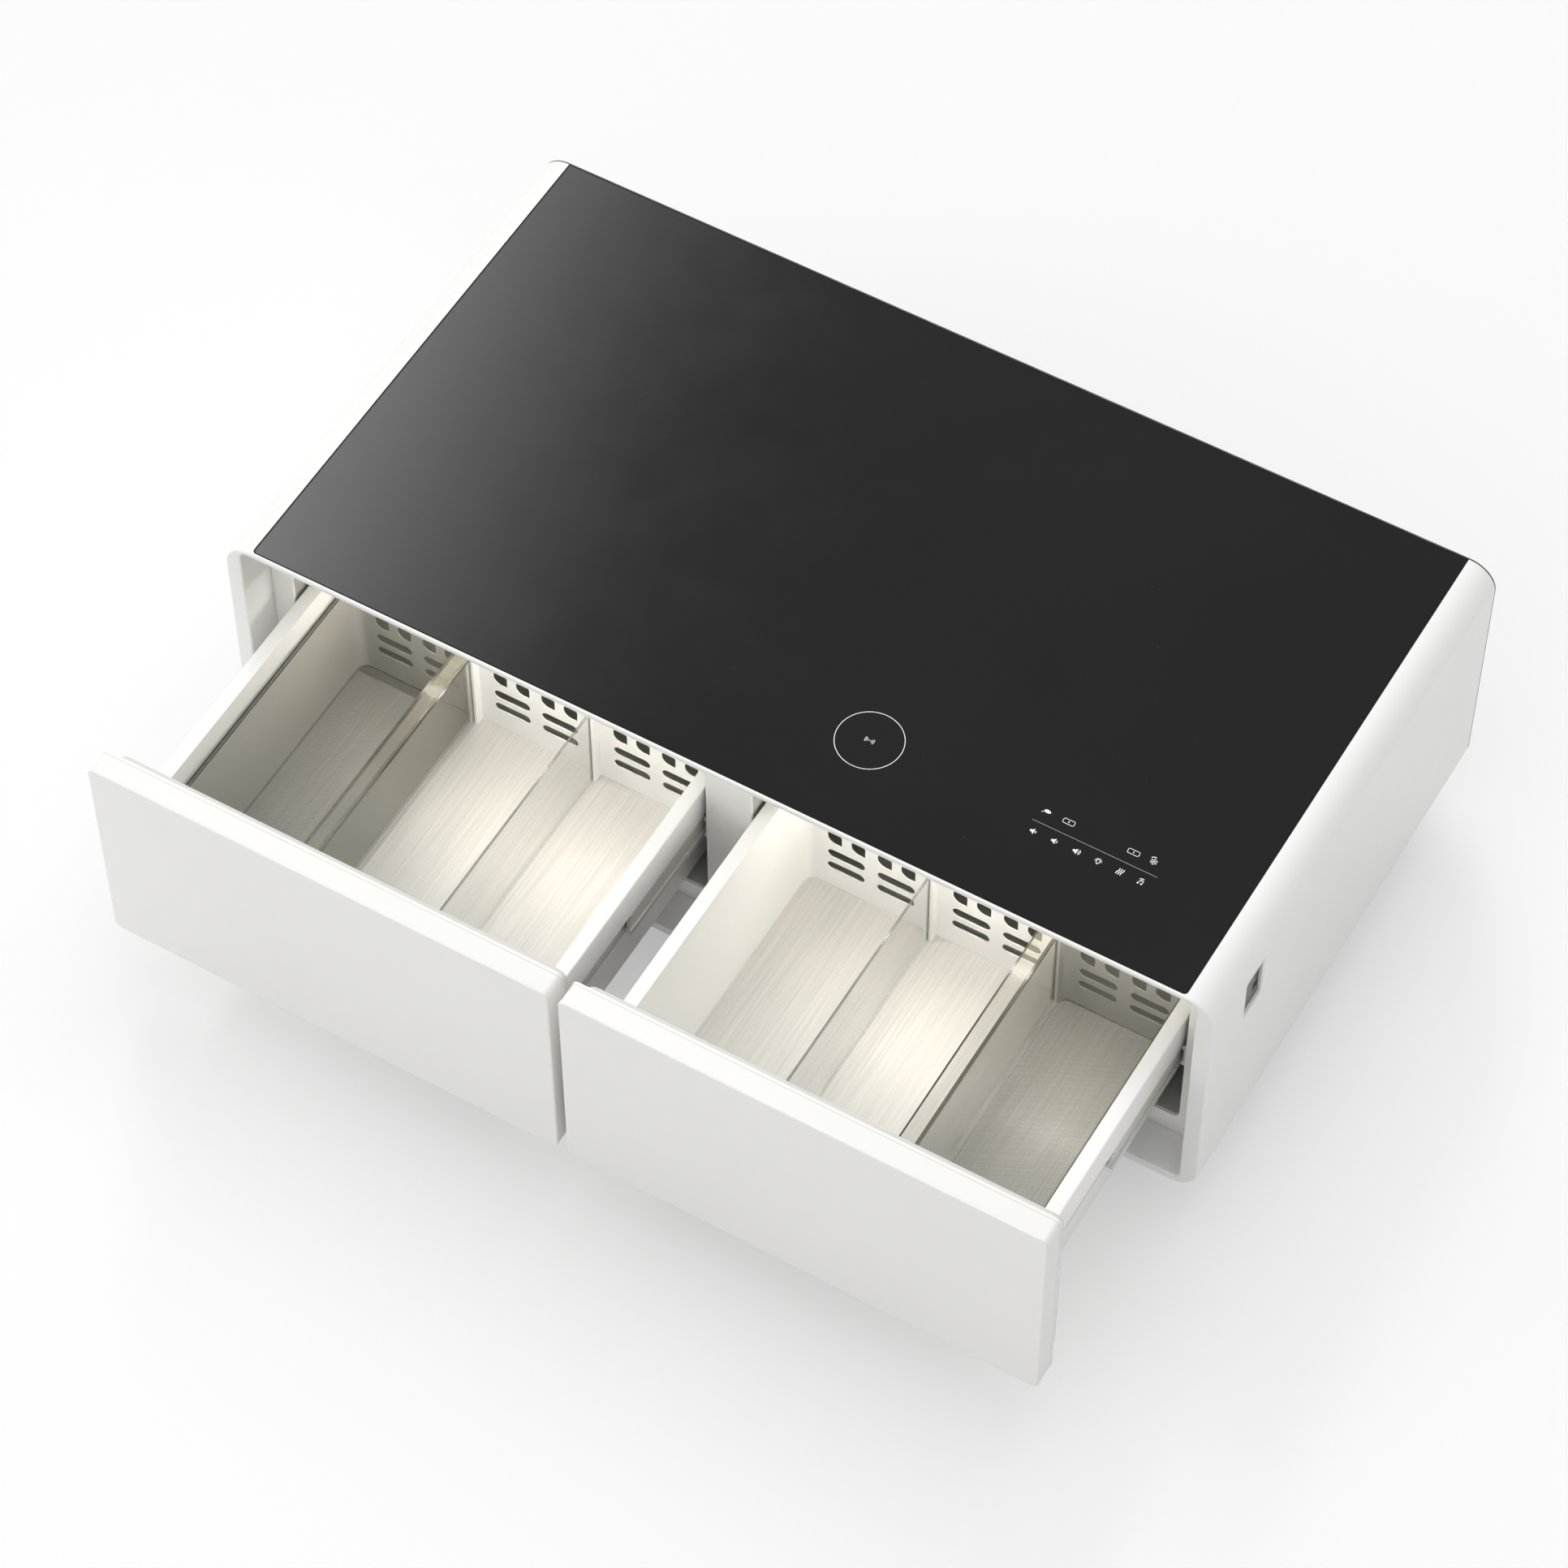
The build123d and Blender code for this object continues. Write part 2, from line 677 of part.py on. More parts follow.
def tub(name, x):
    """Moulded drawer: hanging rim, drafted inside, divider ribs and a vented rear wall."""
    with BuildPart() as body:
        for level, width in ((tub_bottom_z, body_width - 2 * body_draft), (slide_bottom_z, body_width)):
            with BuildSketch(Plane.XY.offset(level)) as section:
                with Locations((x, (tub_front_y + tub_back_y) / 2)):
                    Rectangle(width, tub_length)
                fillet(section.vertices().group_by(Axis.Y)[-1], radius=tub_corner_radius)
        loft()
        bottom_edges = body.faces().sort_by(Axis.Z)[0].edges().filter_by(Axis.Y)
        fillet(bottom_edges, radius=body_edge_radius)
        outside = (
            (slide_bottom_z, rim_z, body_width),
            (body_top_z, rim_z, tub_width - 2 * rim_step_inset),
            (step_z, rim_z, tub_width),
        )
        for low, high, width in outside:
            with BuildSketch(Plane.XY.offset(low)) as section:
                with Locations((x, (tub_front_y + tub_back_y) / 2)):
                    Rectangle(width, tub_length)
                fillet(section.vertices().group_by(Axis.Y)[-1], radius=tub_corner_radius)
            extrude(amount=high - low)
        fillet(body.faces().sort_by(Axis.Z)[-1].edges(), radius=rim_edge_radius)
        with BuildSketch(Plane.XY.offset(tub_floor_z)):
            with Locations((x, base_middle_y)):
                RectangleRounded(base_width, base_length, tub_corner_radius)
        with BuildSketch(Plane.XY.offset(rim_z)):
            with Locations((x, base_middle_y)):
                RectangleRounded(mouth_width, base_length + 2 * wall_draft, tub_corner_radius)
        loft(mode=Mode.SUBTRACT)
        # Slotted ribs on the front and rear walls
        with BuildSketch(Plane.XY.offset(plate_top_z)):
            with Locations((x, base_middle_y)):
                with GridLocations(bay_width, base_length - rib_depth + wall_draft, bay_count - 1, 2):
                    Rectangle(rib_width, rib_depth + wall_draft)
        extrude(amount=rim_z - rib_drop - plate_top_z)
        with BuildSketch(Plane.XY.offset(plate_top_z)):
            with Locations((x, base_middle_y)):
                with GridLocations(
                    bay_width, base_length - 2 * rib_depth + rib_slot_depth, bay_count - 1, 2
                ):
                    Rectangle(rib_slot_width, rib_slot_depth)
        extrude(amount=rim_z - plate_top_z, mode=Mode.SUBTRACT)
        # Leaf and slot vents
        with BuildSketch(upright(base_back_y - wall_draft)):
            with Locations((x, leaf_z)):
                with GridLocations(bay_width, 0, bay_count, 1):
                    with GridLocations(vent_pitch, 0, vents_per_bay, 1):
                        with GridLocations(leaf_pitch, 0, 2, 1):
                            add(leaf.sketch)
            with Locations((x, first_slot_z - slot_pitch / 2)):
                with GridLocations(bay_width, 0, bay_count, 1):
                    with GridLocations(vent_pitch, slot_pitch, vents_per_bay, 2):
                        SlotOverall(slot_length, slot_height)
        extrude(amount=-(rear_wall + 2 * wall_draft), mode=Mode.SUBTRACT)
        # Pockets in the back that thin the wall round the vents
        for step in range(bay_count):
            bay_x = x + (step - (bay_count - 1) / 2) * bay_width
            for level in (vent_low_z, vent_high_z):
                wall_y = base_back_y + wall_draft * (level - tub_floor_z) / tub_depth + vent_skin
                with BuildSketch(Plane.XY.offset(level)):
                    with Locations((bay_x, (wall_y + tub_back_y + overrun) / 2)):
                        Rectangle(vent_panel_width, tub_back_y + overrun - wall_y)
            loft(mode=Mode.SUBTRACT)
    keep(body, name)


def floor_sheet(name, x):
    """Brushed metal sheet on the floor of a tub."""
    with BuildPart() as sheet:
        with BuildSketch(Plane.XY.offset(tub_floor_z)):
            with Locations((x, base_middle_y)):
                RectangleRounded(base_width - 2 * fit_gap, base_length - 2 * fit_gap, tub_corner_radius)
        extrude(amount=floor_plate)
    keep(sheet, name)


def dividers(name, x):
    """Clear sheets that stand in the rib slots."""
    length = base_length - 2 * (rib_depth - rib_slot_depth + fit_gap)
    with BuildPart() as sheets:
        for step in (-1, 1):
            with BuildSketch(sideways(x + step * bay_width / 2 - divider_thickness / 2)) as sheet:
                with Locations((base_middle_y, (plate_top_z + rim_z - divider_drop) / 2)):
                    Rectangle(length, rim_z - divider_drop - plate_top_z)
                fillet(sheet.vertices().group_by(Axis.Y)[-1], radius=divider_corner_radius)
            extrude(amount=divider_thickness)
    keep(sheets, name)


def fruit_bin(name, x, sign):
    """Clear open box in the outer bay, its inner flange hooked over the divider."""
    inner_x = (bay_width + rib_width) / 2 + fit_gap
    outer_x = base_width / 2 - bin_play
    width = outer_x - inner_x
    middle_x = x + sign * (inner_x + outer_x) / 2
    top_x = middle_x + sign * bin_draft / 2
    hook_x = top_x - sign * (width + bin_draft + bin_hook) / 2
    length = base_length - 2 * bin_play
    top = rim_z - bin_drop
    with BuildPart() as basket:
        with BuildSketch(Plane.XY.offset(plate_top_z)):
            with Locations((middle_x, base_middle_y)):
                RectangleRounded(width, length, bin_corner_radius)
        with BuildSketch(Plane.XY.offset(top)):
            with Locations((top_x, base_middle_y)):
                RectangleRounded(width + bin_draft, length, bin_corner_radius)
        loft()
        with BuildSketch(Plane.XY.offset(top - bin_flange_thickness)):
            with Locations((top_x + sign * (bin_flange + bin_wall / 2) / 2, base_middle_y)):
                RectangleRounded(
                    width + bin_draft + bin_flange - bin_wall / 2, length + 2 * bin_flange, bin_corner_radius
                )
            with Locations((hook_x, base_middle_y)):
                RectangleRounded(bin_hook, length - 2 * (rib_depth + bin_play), bin_wall)
            with Locations((hook_x + sign * bin_hook / 2, base_middle_y)):
                Rectangle(bin_hook, length - 2 * (rib_depth + bin_play))
        extrude(amount=bin_flange_thickness)
        with BuildSketch(Plane.XY.offset(plate_top_z + bin_wall)):
            with Locations((middle_x, base_middle_y)):
                RectangleRounded(width - 2 * bin_wall, length - 2 * bin_wall, bin_corner_radius - bin_wall)
        with BuildSketch(Plane.XY.offset(top)):
            with Locations((top_x, base_middle_y)):
                RectangleRounded(
                    width + bin_draft - 2 * bin_wall, length - 2 * bin_wall, bin_corner_radius - bin_wall
                )
        loft(mode=Mode.SUBTRACT)
    keep(basket, name)


def rails(name, x, start, inner, thickness):
    """A pair of slide members, grooved along both faces, one on each side of a tub."""
    with BuildPart() as pair:
        for sign in (-1, 1):
            middle = x + sign * (inner + thickness / 2)
            with BuildSketch(upright(start, middle, slide_top_z - slide_height / 2)):
                RectangleRounded(thickness, slide_height, rail_edge)
                with GridLocations(thickness, 0, 2, 1):
                    Rectangle(2 * rail_groove, rail_groove_height, mode=Mode.SUBTRACT)
            extrude(amount=-slide_length)
    keep(pair, name)


drawer_rail_x = body_width / 2
middle_rail_x = drawer_rail_x + drawer_rail + rail_gap
cabinet_rail_x = middle_rail_x + middle_rail + rail_gap

for side, sign in drawer_sides:
    x = sign * drawer_x
    front_slab(f"{side}_front_fascia", x, open_face_y, fascia_thickness, 0, rounded=True)
    front_slab(f"{side}_front_core", x, core_y, core_thickness, core_inset)
    front_slab(f"{side}_front_back_plate", x, back_plate_y, back_plate_thickness, 0)
    gasket(f"{side}_gasket", x)
    tub(f"{side}_drawer_tub", x)
    floor_sheet(f"{side}_floor_sheet", x)
    dividers(f"{side}_dividers", x)
    fruit_bin(f"{side}_fruit_bin", x, sign)
    rails(f"{side}_drawer_rails", x, cabinet_slide_y - drawer_travel, drawer_rail_x, drawer_rail)
    rails(f"{side}_middle_rails", x, cabinet_slide_y - drawer_travel / 2, middle_rail_x, middle_rail)
    rails(f"{side}_cabinet_rails", x, cabinet_slide_y, cabinet_rail_x, cabinet_rail)


# Fans
def fan_blade(radius):
    """One twisted blade along +X, standing on the hub."""
    root = fan_hub_radius * blade_root_share
    width = fan_depth - 2 * blade_thickness
    with BuildPart() as blade:
        for reach, angle in ((root, blade_root_angle), (radius, blade_tip_angle)):
            with BuildSketch(Plane(origin=(reach, 0, fan_depth / 2), x_dir=(0, 1, 0), z_dir=(1, 0, 0))):
                Rectangle(blade_thickness, width, rotation=angle)
        loft(ruled=True)
    return blade.part


def fan_rotor(name, plane, radius):
    """Hub with its blades, bored for the motor's shaft. It turns about the plane's z axis."""
    blade = fan_blade(radius)
    with BuildPart() as rotor:
        Cylinder(fan_hub_radius, fan_depth, align=(Align.CENTER, Align.CENTER, Align.MIN))
        with PolarLocations(0, fan_blades):
            add(blade)
        Cylinder(
            shaft_radius + shaft_clearance,
            fan_depth,
            align=(Align.CENTER, Align.CENTER, Align.MIN),
            mode=Mode.SUBTRACT,
        )
    rotor.part.label = name
    placed = rotor.part.moved(plane.location)
    placed.label = name
    export_step(placed, f"parts/{name}.step")


def fan_motor(radius):
    """Motor can on three arms with its shaft along +Z: the arms' face lies in z = 0."""
    reach = radius + fan_clearance
    with BuildPart() as motor:
        with BuildSketch():
            Circle(reach + motor_ring_width)
            Circle(reach, mode=Mode.SUBTRACT)
            with PolarLocations(reach / 2, motor_arms):
                Rectangle(reach + motor_ring_width / 2, motor_arm_width)
        extrude(amount=-motor_arm_depth)
        with BuildSketch():
            Circle(motor_radius)
        extrude(amount=-motor_depth)
        with BuildSketch():
            Circle(shaft_radius)
        extrude(amount=motor_gap + fan_depth)
    return motor.part


cold_fan_y = duct_cover_y + duct_cover_thickness
with BuildPart() as duct_covers:
    with BuildSketch(upright(duct_cover_y)):
        with Locations((0, opening_middle_z)):
            with GridLocations(2 * drawer_x, 0, 2, 1):
                RectangleRounded(opening_width - 2 * fit_gap, opening_height - 2 * fit_gap, opening_radius)
                Circle(cold_fan_radius + fan_clearance, mode=Mode.SUBTRACT)
                with GridLocations(2 * duct_slot_shift, 0, 2, 1):
                    with GridLocations(duct_slot_pitch, 0, duct_slot_count, 1):
                        Rectangle(duct_slot_width, duct_slot_height, mode=Mode.SUBTRACT)
    extrude(amount=-duct_cover_thickness)
keep(duct_covers, "duct_covers")

cold_motor = fan_motor(cold_fan_radius)
with BuildPart() as cold_motors:
    for side, sign in drawer_sides:
        add(cold_motor.moved(upright(cold_fan_y, sign * drawer_x, opening_middle_z).location))
keep(cold_motors, "cold_fan_motors")

for side, sign in drawer_sides:
    rotor_plane = upright(cold_fan_y - motor_gap, sign * drawer_x, opening_middle_z)
    fan_rotor(f"{side}_fan_rotor", rotor_plane, cold_fan_radius)


def tube_on_plate(plate_y, x, low, length, rows, pitch):
    """Cooling plate with a serpentine tube along its back."""
    tube_y = plate_y + coil_plate + coil_tube_radius * coil_seat_share
    points = []
    for row in range(rows):
        ends = (-length / 2, length / 2) if row % 2 == 0 else (length / 2, -length / 2)
        for end in ends:
            points.append((x + end, low + pitch * (row + 1)))
    with BuildPart() as coil:
        with BuildSketch(upright(plate_y)):
            rounded_block(length, low, low + pitch * (rows + 1), port_radius, x)
        extrude(amount=-coil_plate)
        with BuildLine(upright(tube_y)) as route:
            FilletPolyline(*points, radius=pitch * coil_bend_share)
        with BuildSketch(Plane(origin=route.line @ 0, z_dir=route.line % 0)):
            Circle(coil_tube_radius)
        sweep(path=route.line)
    return coil.part


evaporator_y = liner_back_y - evaporator_setback
evaporator_length = opening_width - 2 * evaporator_side_gap
evaporator_pitch = opening_height * evaporator_height_share / (evaporator_rows + 1)
with BuildPart() as evaporators:
    for side, sign in drawer_sides:
        add(
            tube_on_plate(
                evaporator_y,
                sign * drawer_x,
                opening_bottom_z,
                evaporator_length,
                evaporator_rows,
                evaporator_pitch,
            )
        )
keep(evaporators, "evaporators")

# Drip tray with the condenser standing in it
tray_z = hollow_bottom_z
condenser_x = table_width * condenser_share
tray_length = condenser_length + 2 * tray_margin
with BuildPart() as tray:
    with BuildSketch(Plane.XY.offset(tray_z)):
        with Locations((condenser_x, machine_middle_y)):
            RectangleRounded(tray_length, tray_depth, tray_margin)
    extrude(amount=tray_height)
    with BuildSketch(Plane.XY.offset(tray_z + tray_wall)):
        with Locations((condenser_x, machine_middle_y)):
            RectangleRounded(
                tray_length - 2 * tray_wall, tray_depth - 2 * tray_wall, tray_margin - tray_wall
            )
    extrude(amount=tray_height, mode=Mode.SUBTRACT)
keep(tray, "drip_tray")

condenser_y = machine_middle_y - coil_plate - coil_tube_radius * coil_seat_share
condenser_z = tray_z + tray_wall
with BuildPart() as condenser:
    add(
        tube_on_plate(
            condenser_y, condenser_x, condenser_z, condenser_length, condenser_rows, condenser_pitch
        )
    )
keep(condenser, "condenser")

# Condenser fan: shroud with its motor, and the rotor, midway between compressor and tray
power_box_x = power_box_inset - table_width / 2
compressor_x = power_box_x + power_box_width / 2 + compressor_gap + mount_length / 2
shroud_size = 2 * (warm_fan_radius + fan_clearance + motor_ring_width + shroud_margin)
tray_left_x = condenser_x - tray_length / 2
shroud_x = (compressor_x + mount_length / 2 + tray_left_x + shroud_depth) / 2
motor_face_x = shroud_x - shroud_depth + motor_arm_depth
warm_fan_z = hollow_bottom_z + shroud_size / 2
with BuildPart() as shroud:
    with BuildSketch(sideways(shroud_x, machine_middle_y, warm_fan_z)):
        RectangleRounded(shroud_size, shroud_size, shroud_radius)
        Circle(warm_fan_radius + fan_clearance, mode=Mode.SUBTRACT)
    extrude(amount=-shroud_depth)
    add(fan_motor(warm_fan_radius).moved(sideways(motor_face_x, machine_middle_y, warm_fan_z).location))
keep(shroud, "condenser_fan_shroud")
rotor_plane = sideways(motor_face_x + motor_gap, machine_middle_y, warm_fan_z)
fan_rotor("condenser_fan_rotor", rotor_plane, warm_fan_radius)

# Compressor on its mounting plate and grommets
mount_z = hollow_bottom_z + grommet_height
can_z = mount_z + mount_thickness
with BuildPart() as compressor:
    with BuildSketch(Plane.XY.offset(can_z)):
        with Locations((compressor_x, machine_middle_y)):
            Circle(compressor_radius)
    extrude(amount=compressor_height)
    fillet(compressor.edges().filter_by(GeomType.CIRCLE), radius=compressor_dome)
    with BuildSketch(Plane.XY.offset(can_z + compressor_height * seam_share)):
        with Locations((compressor_x, machine_middle_y)):
            Circle(compressor_radius + seam_out)
    extrude(amount=seam_height)
    # Terminal box on the side towards the rear panel
    with BuildSketch(Plane.XY.offset(can_z + compressor_dome)):
        with Locations((compressor_x, machine_middle_y + compressor_radius)):
            RectangleRounded(terminal_width, 2 * terminal_depth, terminal_radius)
    extrude(amount=terminal_height)
keep(compressor, "compressor")

with BuildPart() as mount:
    with BuildSketch(Plane.XY.offset(mount_z)):
        with Locations((compressor_x, machine_middle_y)):
            RectangleRounded(mount_length, mount_width, mount_radius)
    extrude(amount=mount_thickness)
keep(mount, "compressor_mount_plate")

with BuildPart() as grommets:
    with BuildSketch(Plane.XY.offset(hollow_bottom_z)):
        with Locations((compressor_x, machine_middle_y)):
            with GridLocations(mount_length - 2 * grommet_inset, mount_width - 2 * grommet_inset, 2, 2):
                Circle(grommet_radius)
    extrude(amount=grommet_height)
    chamfer(grommets.faces().group_by(Axis.Z)[-1].edges(), length=grommet_waist)
keep(grommets, "compressor_grommets")

# Refrigerant pipes: hot gas to the condenser, and suction from the foam
with BuildPart() as pipes:
    hot_start_x = compressor_x + compressor_radius
    hot_start_z = can_z + compressor_height * hot_share
    hot_z = warm_fan_z + shroud_size / 2 + pipe_rise
    with BuildLine(upright(machine_middle_y)) as hot_route:
        FilletPolyline(
            (hot_start_x, hot_start_z),
            (hot_start_x + pipe_reach, hot_start_z),
            (hot_start_x + pipe_reach, hot_z),
            (tray_left_x - pipe_setback, hot_z),
            (tray_left_x - pipe_setback, condenser_z + condenser_pitch),
            (condenser_x - condenser_length / 2, condenser_z + condenser_pitch),
            radius=pipe_bend,
        )
    with BuildSketch(Plane(origin=hot_route.line @ 0, z_dir=hot_route.line % 0)):
        Circle(pipe_radius)
    sweep(path=hot_route.line)
    suction_x = compressor_x - compressor_radius
    with BuildLine(Plane.XY.offset(can_z + compressor_height * suction_share)) as suction_route:
        FilletPolyline(
            (suction_x, machine_middle_y),
            (suction_x - suction_reach, machine_middle_y),
            (suction_x - suction_reach, machine_y),
            radius=pipe_bend,
        )
    with BuildSketch(Plane(origin=suction_route.line @ 0, z_dir=suction_route.line % 0)):
        Circle(pipe_radius)
    sweep(path=suction_route.line)
keep(pipes, "refrigerant_pipes")

with BuildPart() as power_box:
    with BuildSketch(Plane.XY.offset(hollow_bottom_z)):
        with Locations((power_box_x, back_y - power_box_depth / 2 - boss_length)):
            RectangleRounded(power_box_width, power_box_depth, power_box_radius)
    extrude(amount=power_box_height)
    fillet(power_box.faces().sort_by(Axis.Z)[-1].edges(), radius=power_box_radius / 2)
keep(power_box, "power_box")

# Speakers behind the rear panel, each on a bracket from the floor of the shell
speaker_x = table_width / 2 - speaker_inset
speaker_z = hollow_bottom_z + speaker_rise
with BuildPart() as speakers:
    for side, sign in drawer_sides:
        with BuildSketch(upright(back_y - speaker_flange, sign * speaker_x, speaker_z)):
            with Locations((0, -speaker_rise / 2)):
                Rectangle(speaker_bracket_width, speaker_rise)
        extrude(amount=speaker_bracket_thickness)
        with BuildSketch(upright(back_y, sign * speaker_x, speaker_z)):
            Circle(speaker_radius)
        extrude(amount=speaker_flange)
        with BuildSketch(upright(back_y - speaker_flange, sign * speaker_x, speaker_z)):
            Circle(speaker_radius - speaker_flange)
        extrude(amount=speaker_depth, taper=speaker_neck)
        with BuildSketch(upright(back_y - speaker_depth, sign * speaker_x, speaker_z)):
            Circle(speaker_magnet_radius)
        extrude(amount=speaker_magnet_depth)
        with BuildSketch(upright(back_y, sign * speaker_x, speaker_z)):
            Circle(speaker_radius - 2 * speaker_flange)
        extrude(amount=speaker_cone_depth, taper=2 * speaker_neck, mode=Mode.SUBTRACT)
keep(speakers, "speakers")

# Rear panel with its louvres, speaker slots and the cut-out for the mains inlet
def panel_screw():
    """Countersunk screw along -Z with its head's face in z = 0."""
    with BuildPart() as screw:
        with BuildSketch():
            Circle(rear_screw_head)
        with BuildSketch(Plane.XY.offset(-rear_panel_thickness)):
            Circle(rear_screw_radius)
        loft()
        with BuildSketch(Plane.XY.offset(-rear_panel_thickness)):
            Circle(rear_screw_radius)
        extrude(amount=-rear_screw_length)
    return screw.part


def from_behind(x, z):
    """Plane on the back of the rear panel, facing away from the table."""
    return Plane(origin=(x, back_y + rear_panel_thickness, z), x_dir=(-1, 0, 0), z_dir=(0, 1, 0))


screw = panel_screw()
inlet_x = table_width / 2 - inlet_inset
inlet_z = shell_bottom_z + inlet_rise
with BuildPart() as rear_panel:
    with BuildSketch(upright(back_y)) as back_outline:
        with Locations((0, (shell_bottom_z + top_z) / 2)):
            Rectangle(table_width, cabinet_height)
        fillet(back_outline.vertices().group_by(Axis.Y)[-1], radius=top_corner_radius)
        fillet(back_outline.vertices().group_by(Axis.Y)[0], radius=bottom_corner_radius)
        with Locations((0, (shell_bottom_z + top_z) / 2)):
            with GridLocations(table_width - 2 * louvre_inset, 0, 2, 1):
                with GridLocations(louvre_pitch, 0, louvre_count, 1):
                    SlotOverall(louvre_height, louvre_width, rotation=90, mode=Mode.SUBTRACT)
        with Locations((0, speaker_z)):
            with GridLocations(2 * speaker_x, 0, 2, 1):
                with GridLocations(grille_slot_pitch, 0, grille_slots, 1):
                    SlotOverall(grille_slot_height, louvre_width, rotation=90, mode=Mode.SUBTRACT)
        with Locations((inlet_x, inlet_z)):
            Rectangle(inlet_width, inlet_height, mode=Mode.SUBTRACT)
    extrude(amount=-rear_panel_thickness)
    for place_x, place_z in screw_places:
        add(screw.moved(from_behind(place_x, place_z).location), mode=Mode.SUBTRACT)
keep(rear_panel, "rear_panel")

with BuildPart() as rear_screws:
    for place_x, place_z in screw_places:
        add(screw.moved(from_behind(place_x, place_z).location))
    with BuildSketch(upright(back_y + rear_panel_thickness)):
        with Locations(*screw_places):
            Rectangle(rear_screw_head, rear_screw_slot)
            Rectangle(rear_screw_slot, rear_screw_head)
    extrude(amount=rear_screw_slot, mode=Mode.SUBTRACT)
keep(rear_screws, "rear_panel_screws")

# Mains inlet: a socket whose flange lies on the rear panel
with BuildPart() as inlet:
    with BuildSketch(from_behind(inlet_x, inlet_z)):
        RectangleRounded(inlet_width + 2 * inlet_flange, inlet_height + 2 * inlet_flange, inlet_corner)
    extrude(amount=inlet_flange_thickness)
    with BuildSketch(from_behind(inlet_x, inlet_z)):
        Rectangle(inlet_width, inlet_height)
    extrude(amount=-inlet_depth)
    with BuildSketch(from_behind(inlet_x, inlet_z).offset(inlet_flange_thickness)) as mouth:
        Rectangle(inlet_width - 2 * inlet_wall, inlet_height - 2 * inlet_wall)
        chamfer(mouth.vertices().group_by(Axis.Y)[-1], length=inlet_corner)
    extrude(amount=inlet_wall - inlet_depth, mode=Mode.SUBTRACT)
keep(inlet, "mains_inlet")

pin_foot = inlet_wall + inlet_flange_thickness - inlet_depth
with BuildPart() as pins:
    with BuildSketch(from_behind(inlet_x, inlet_z).offset(pin_foot)):
        with GridLocations(2 * pin_pitch, 0, 2, 1):
            Rectangle(pin_thickness, pin_width)
        with Locations((0, pin_rise)):
            Rectangle(pin_thickness, pin_width)
    extrude(amount=pin_length)
keep(pins, "inlet_pins")

# Side port: a shallow cup flush with the cabinet's side, with two kinds of socket
usb_y = port_y + usb_across
usb_z = port_z - usb_drop
socket_y = port_y + socket_across
socket_z = port_z + socket_rise
port_floor_x = table_width / 2 - port_depth
with BuildPart() as cup:
    with BuildSketch(sideways(table_width / 2)):
        with Locations((port_y, port_z)):
            RectangleRounded(port_width, port_height, port_radius)
    extrude(amount=-(port_depth + port_wall))
    with BuildSketch(sideways(table_width / 2)):
        with Locations((port_y, port_z)):
            RectangleRounded(port_width - 2 * port_rim, port_height - 2 * port_rim, port_radius)
    extrude(amount=-port_depth, mode=Mode.SUBTRACT)
    chamfer(cup.faces().sort_by(Axis.X)[-1].inner_wires().edges(), length=port_bevel)
    with BuildSketch(sideways(port_floor_x)):
        with Locations((usb_y, usb_z)):
            with GridLocations(0, usb_pitch, 1, 2):
                Rectangle(usb_width, usb_height)
        with Locations((socket_y, socket_z)):
            Circle(socket_radius)
    extrude(amount=-port_wall, mode=Mode.SUBTRACT)
keep(cup, "side_port_cup")

with BuildPart() as usb:
    for step in (-1, 1):
        with BuildSketch(sideways(port_floor_x, usb_y, usb_z + step * usb_pitch / 2)):
            Rectangle(usb_width, usb_height)
        extrude(amount=-usb_depth)
        with BuildSketch(sideways(port_floor_x, usb_y, usb_z + step * usb_pitch / 2)):
            Rectangle(usb_width - 2 * usb_wall, usb_height - 2 * usb_wall)
        extrude(amount=-usb_bore, mode=Mode.SUBTRACT)
        with BuildSketch(sideways(port_floor_x - usb_wall, usb_y, usb_z + step * usb_pitch / 2)):
            Rectangle(usb_width - usb_height, usb_tongue)
        extrude(amount=-usb_bore)
keep(usb, "usb_ports")

with BuildPart() as audio:
    with BuildSketch(sideways(port_floor_x, socket_y, socket_z)):
        Circle(socket_radius)
    extrude(amount=-socket_depth)
    with BuildSketch(sideways(port_floor_x, socket_y, socket_z)):
        Circle(socket_bore)
    extrude(amount=port_wall - socket_depth, mode=Mode.SUBTRACT)
keep(audio, "audio_socket")

# Plinth: a pan under the shell, set back on every side
plinth_front_y = front_y + plinth_front_inset
plinth_back_y = back_y - plinth_back_inset
plinth_width = table_width - 2 * plinth_side_inset
plinth_middle_y = (plinth_front_y + plinth_back_y) / 2
plinth_length = plinth_back_y - plinth_front_y
foot_spread_x = plinth_width - 2 * foot_inset
foot_spread_y = plinth_length - 2 * foot_inset
with BuildPart() as plinth:
    with BuildSketch(Plane.XY.offset(foot_height)):
        with Locations((0, plinth_middle_y)):
            RectangleRounded(plinth_width, plinth_length, plinth_radius)
    extrude(amount=plinth_height)
    with BuildSketch(Plane.XY.offset(foot_height + plinth_wall)):
        with Locations((0, plinth_middle_y)):
            RectangleRounded(
                plinth_width - 2 * plinth_wall, plinth_length - 2 * plinth_wall, plinth_radius - plinth_wall
            )
    extrude(amount=plinth_height, mode=Mode.SUBTRACT)
    with BuildSketch(Plane.XY.offset(foot_height)):
        with Locations((0, plinth_middle_y)):
            with GridLocations(foot_spread_x, foot_spread_y, 2, 2):
                Circle(foot_stem_radius)
    extrude(amount=plinth_wall, mode=Mode.SUBTRACT)
keep(plinth, "plinth")

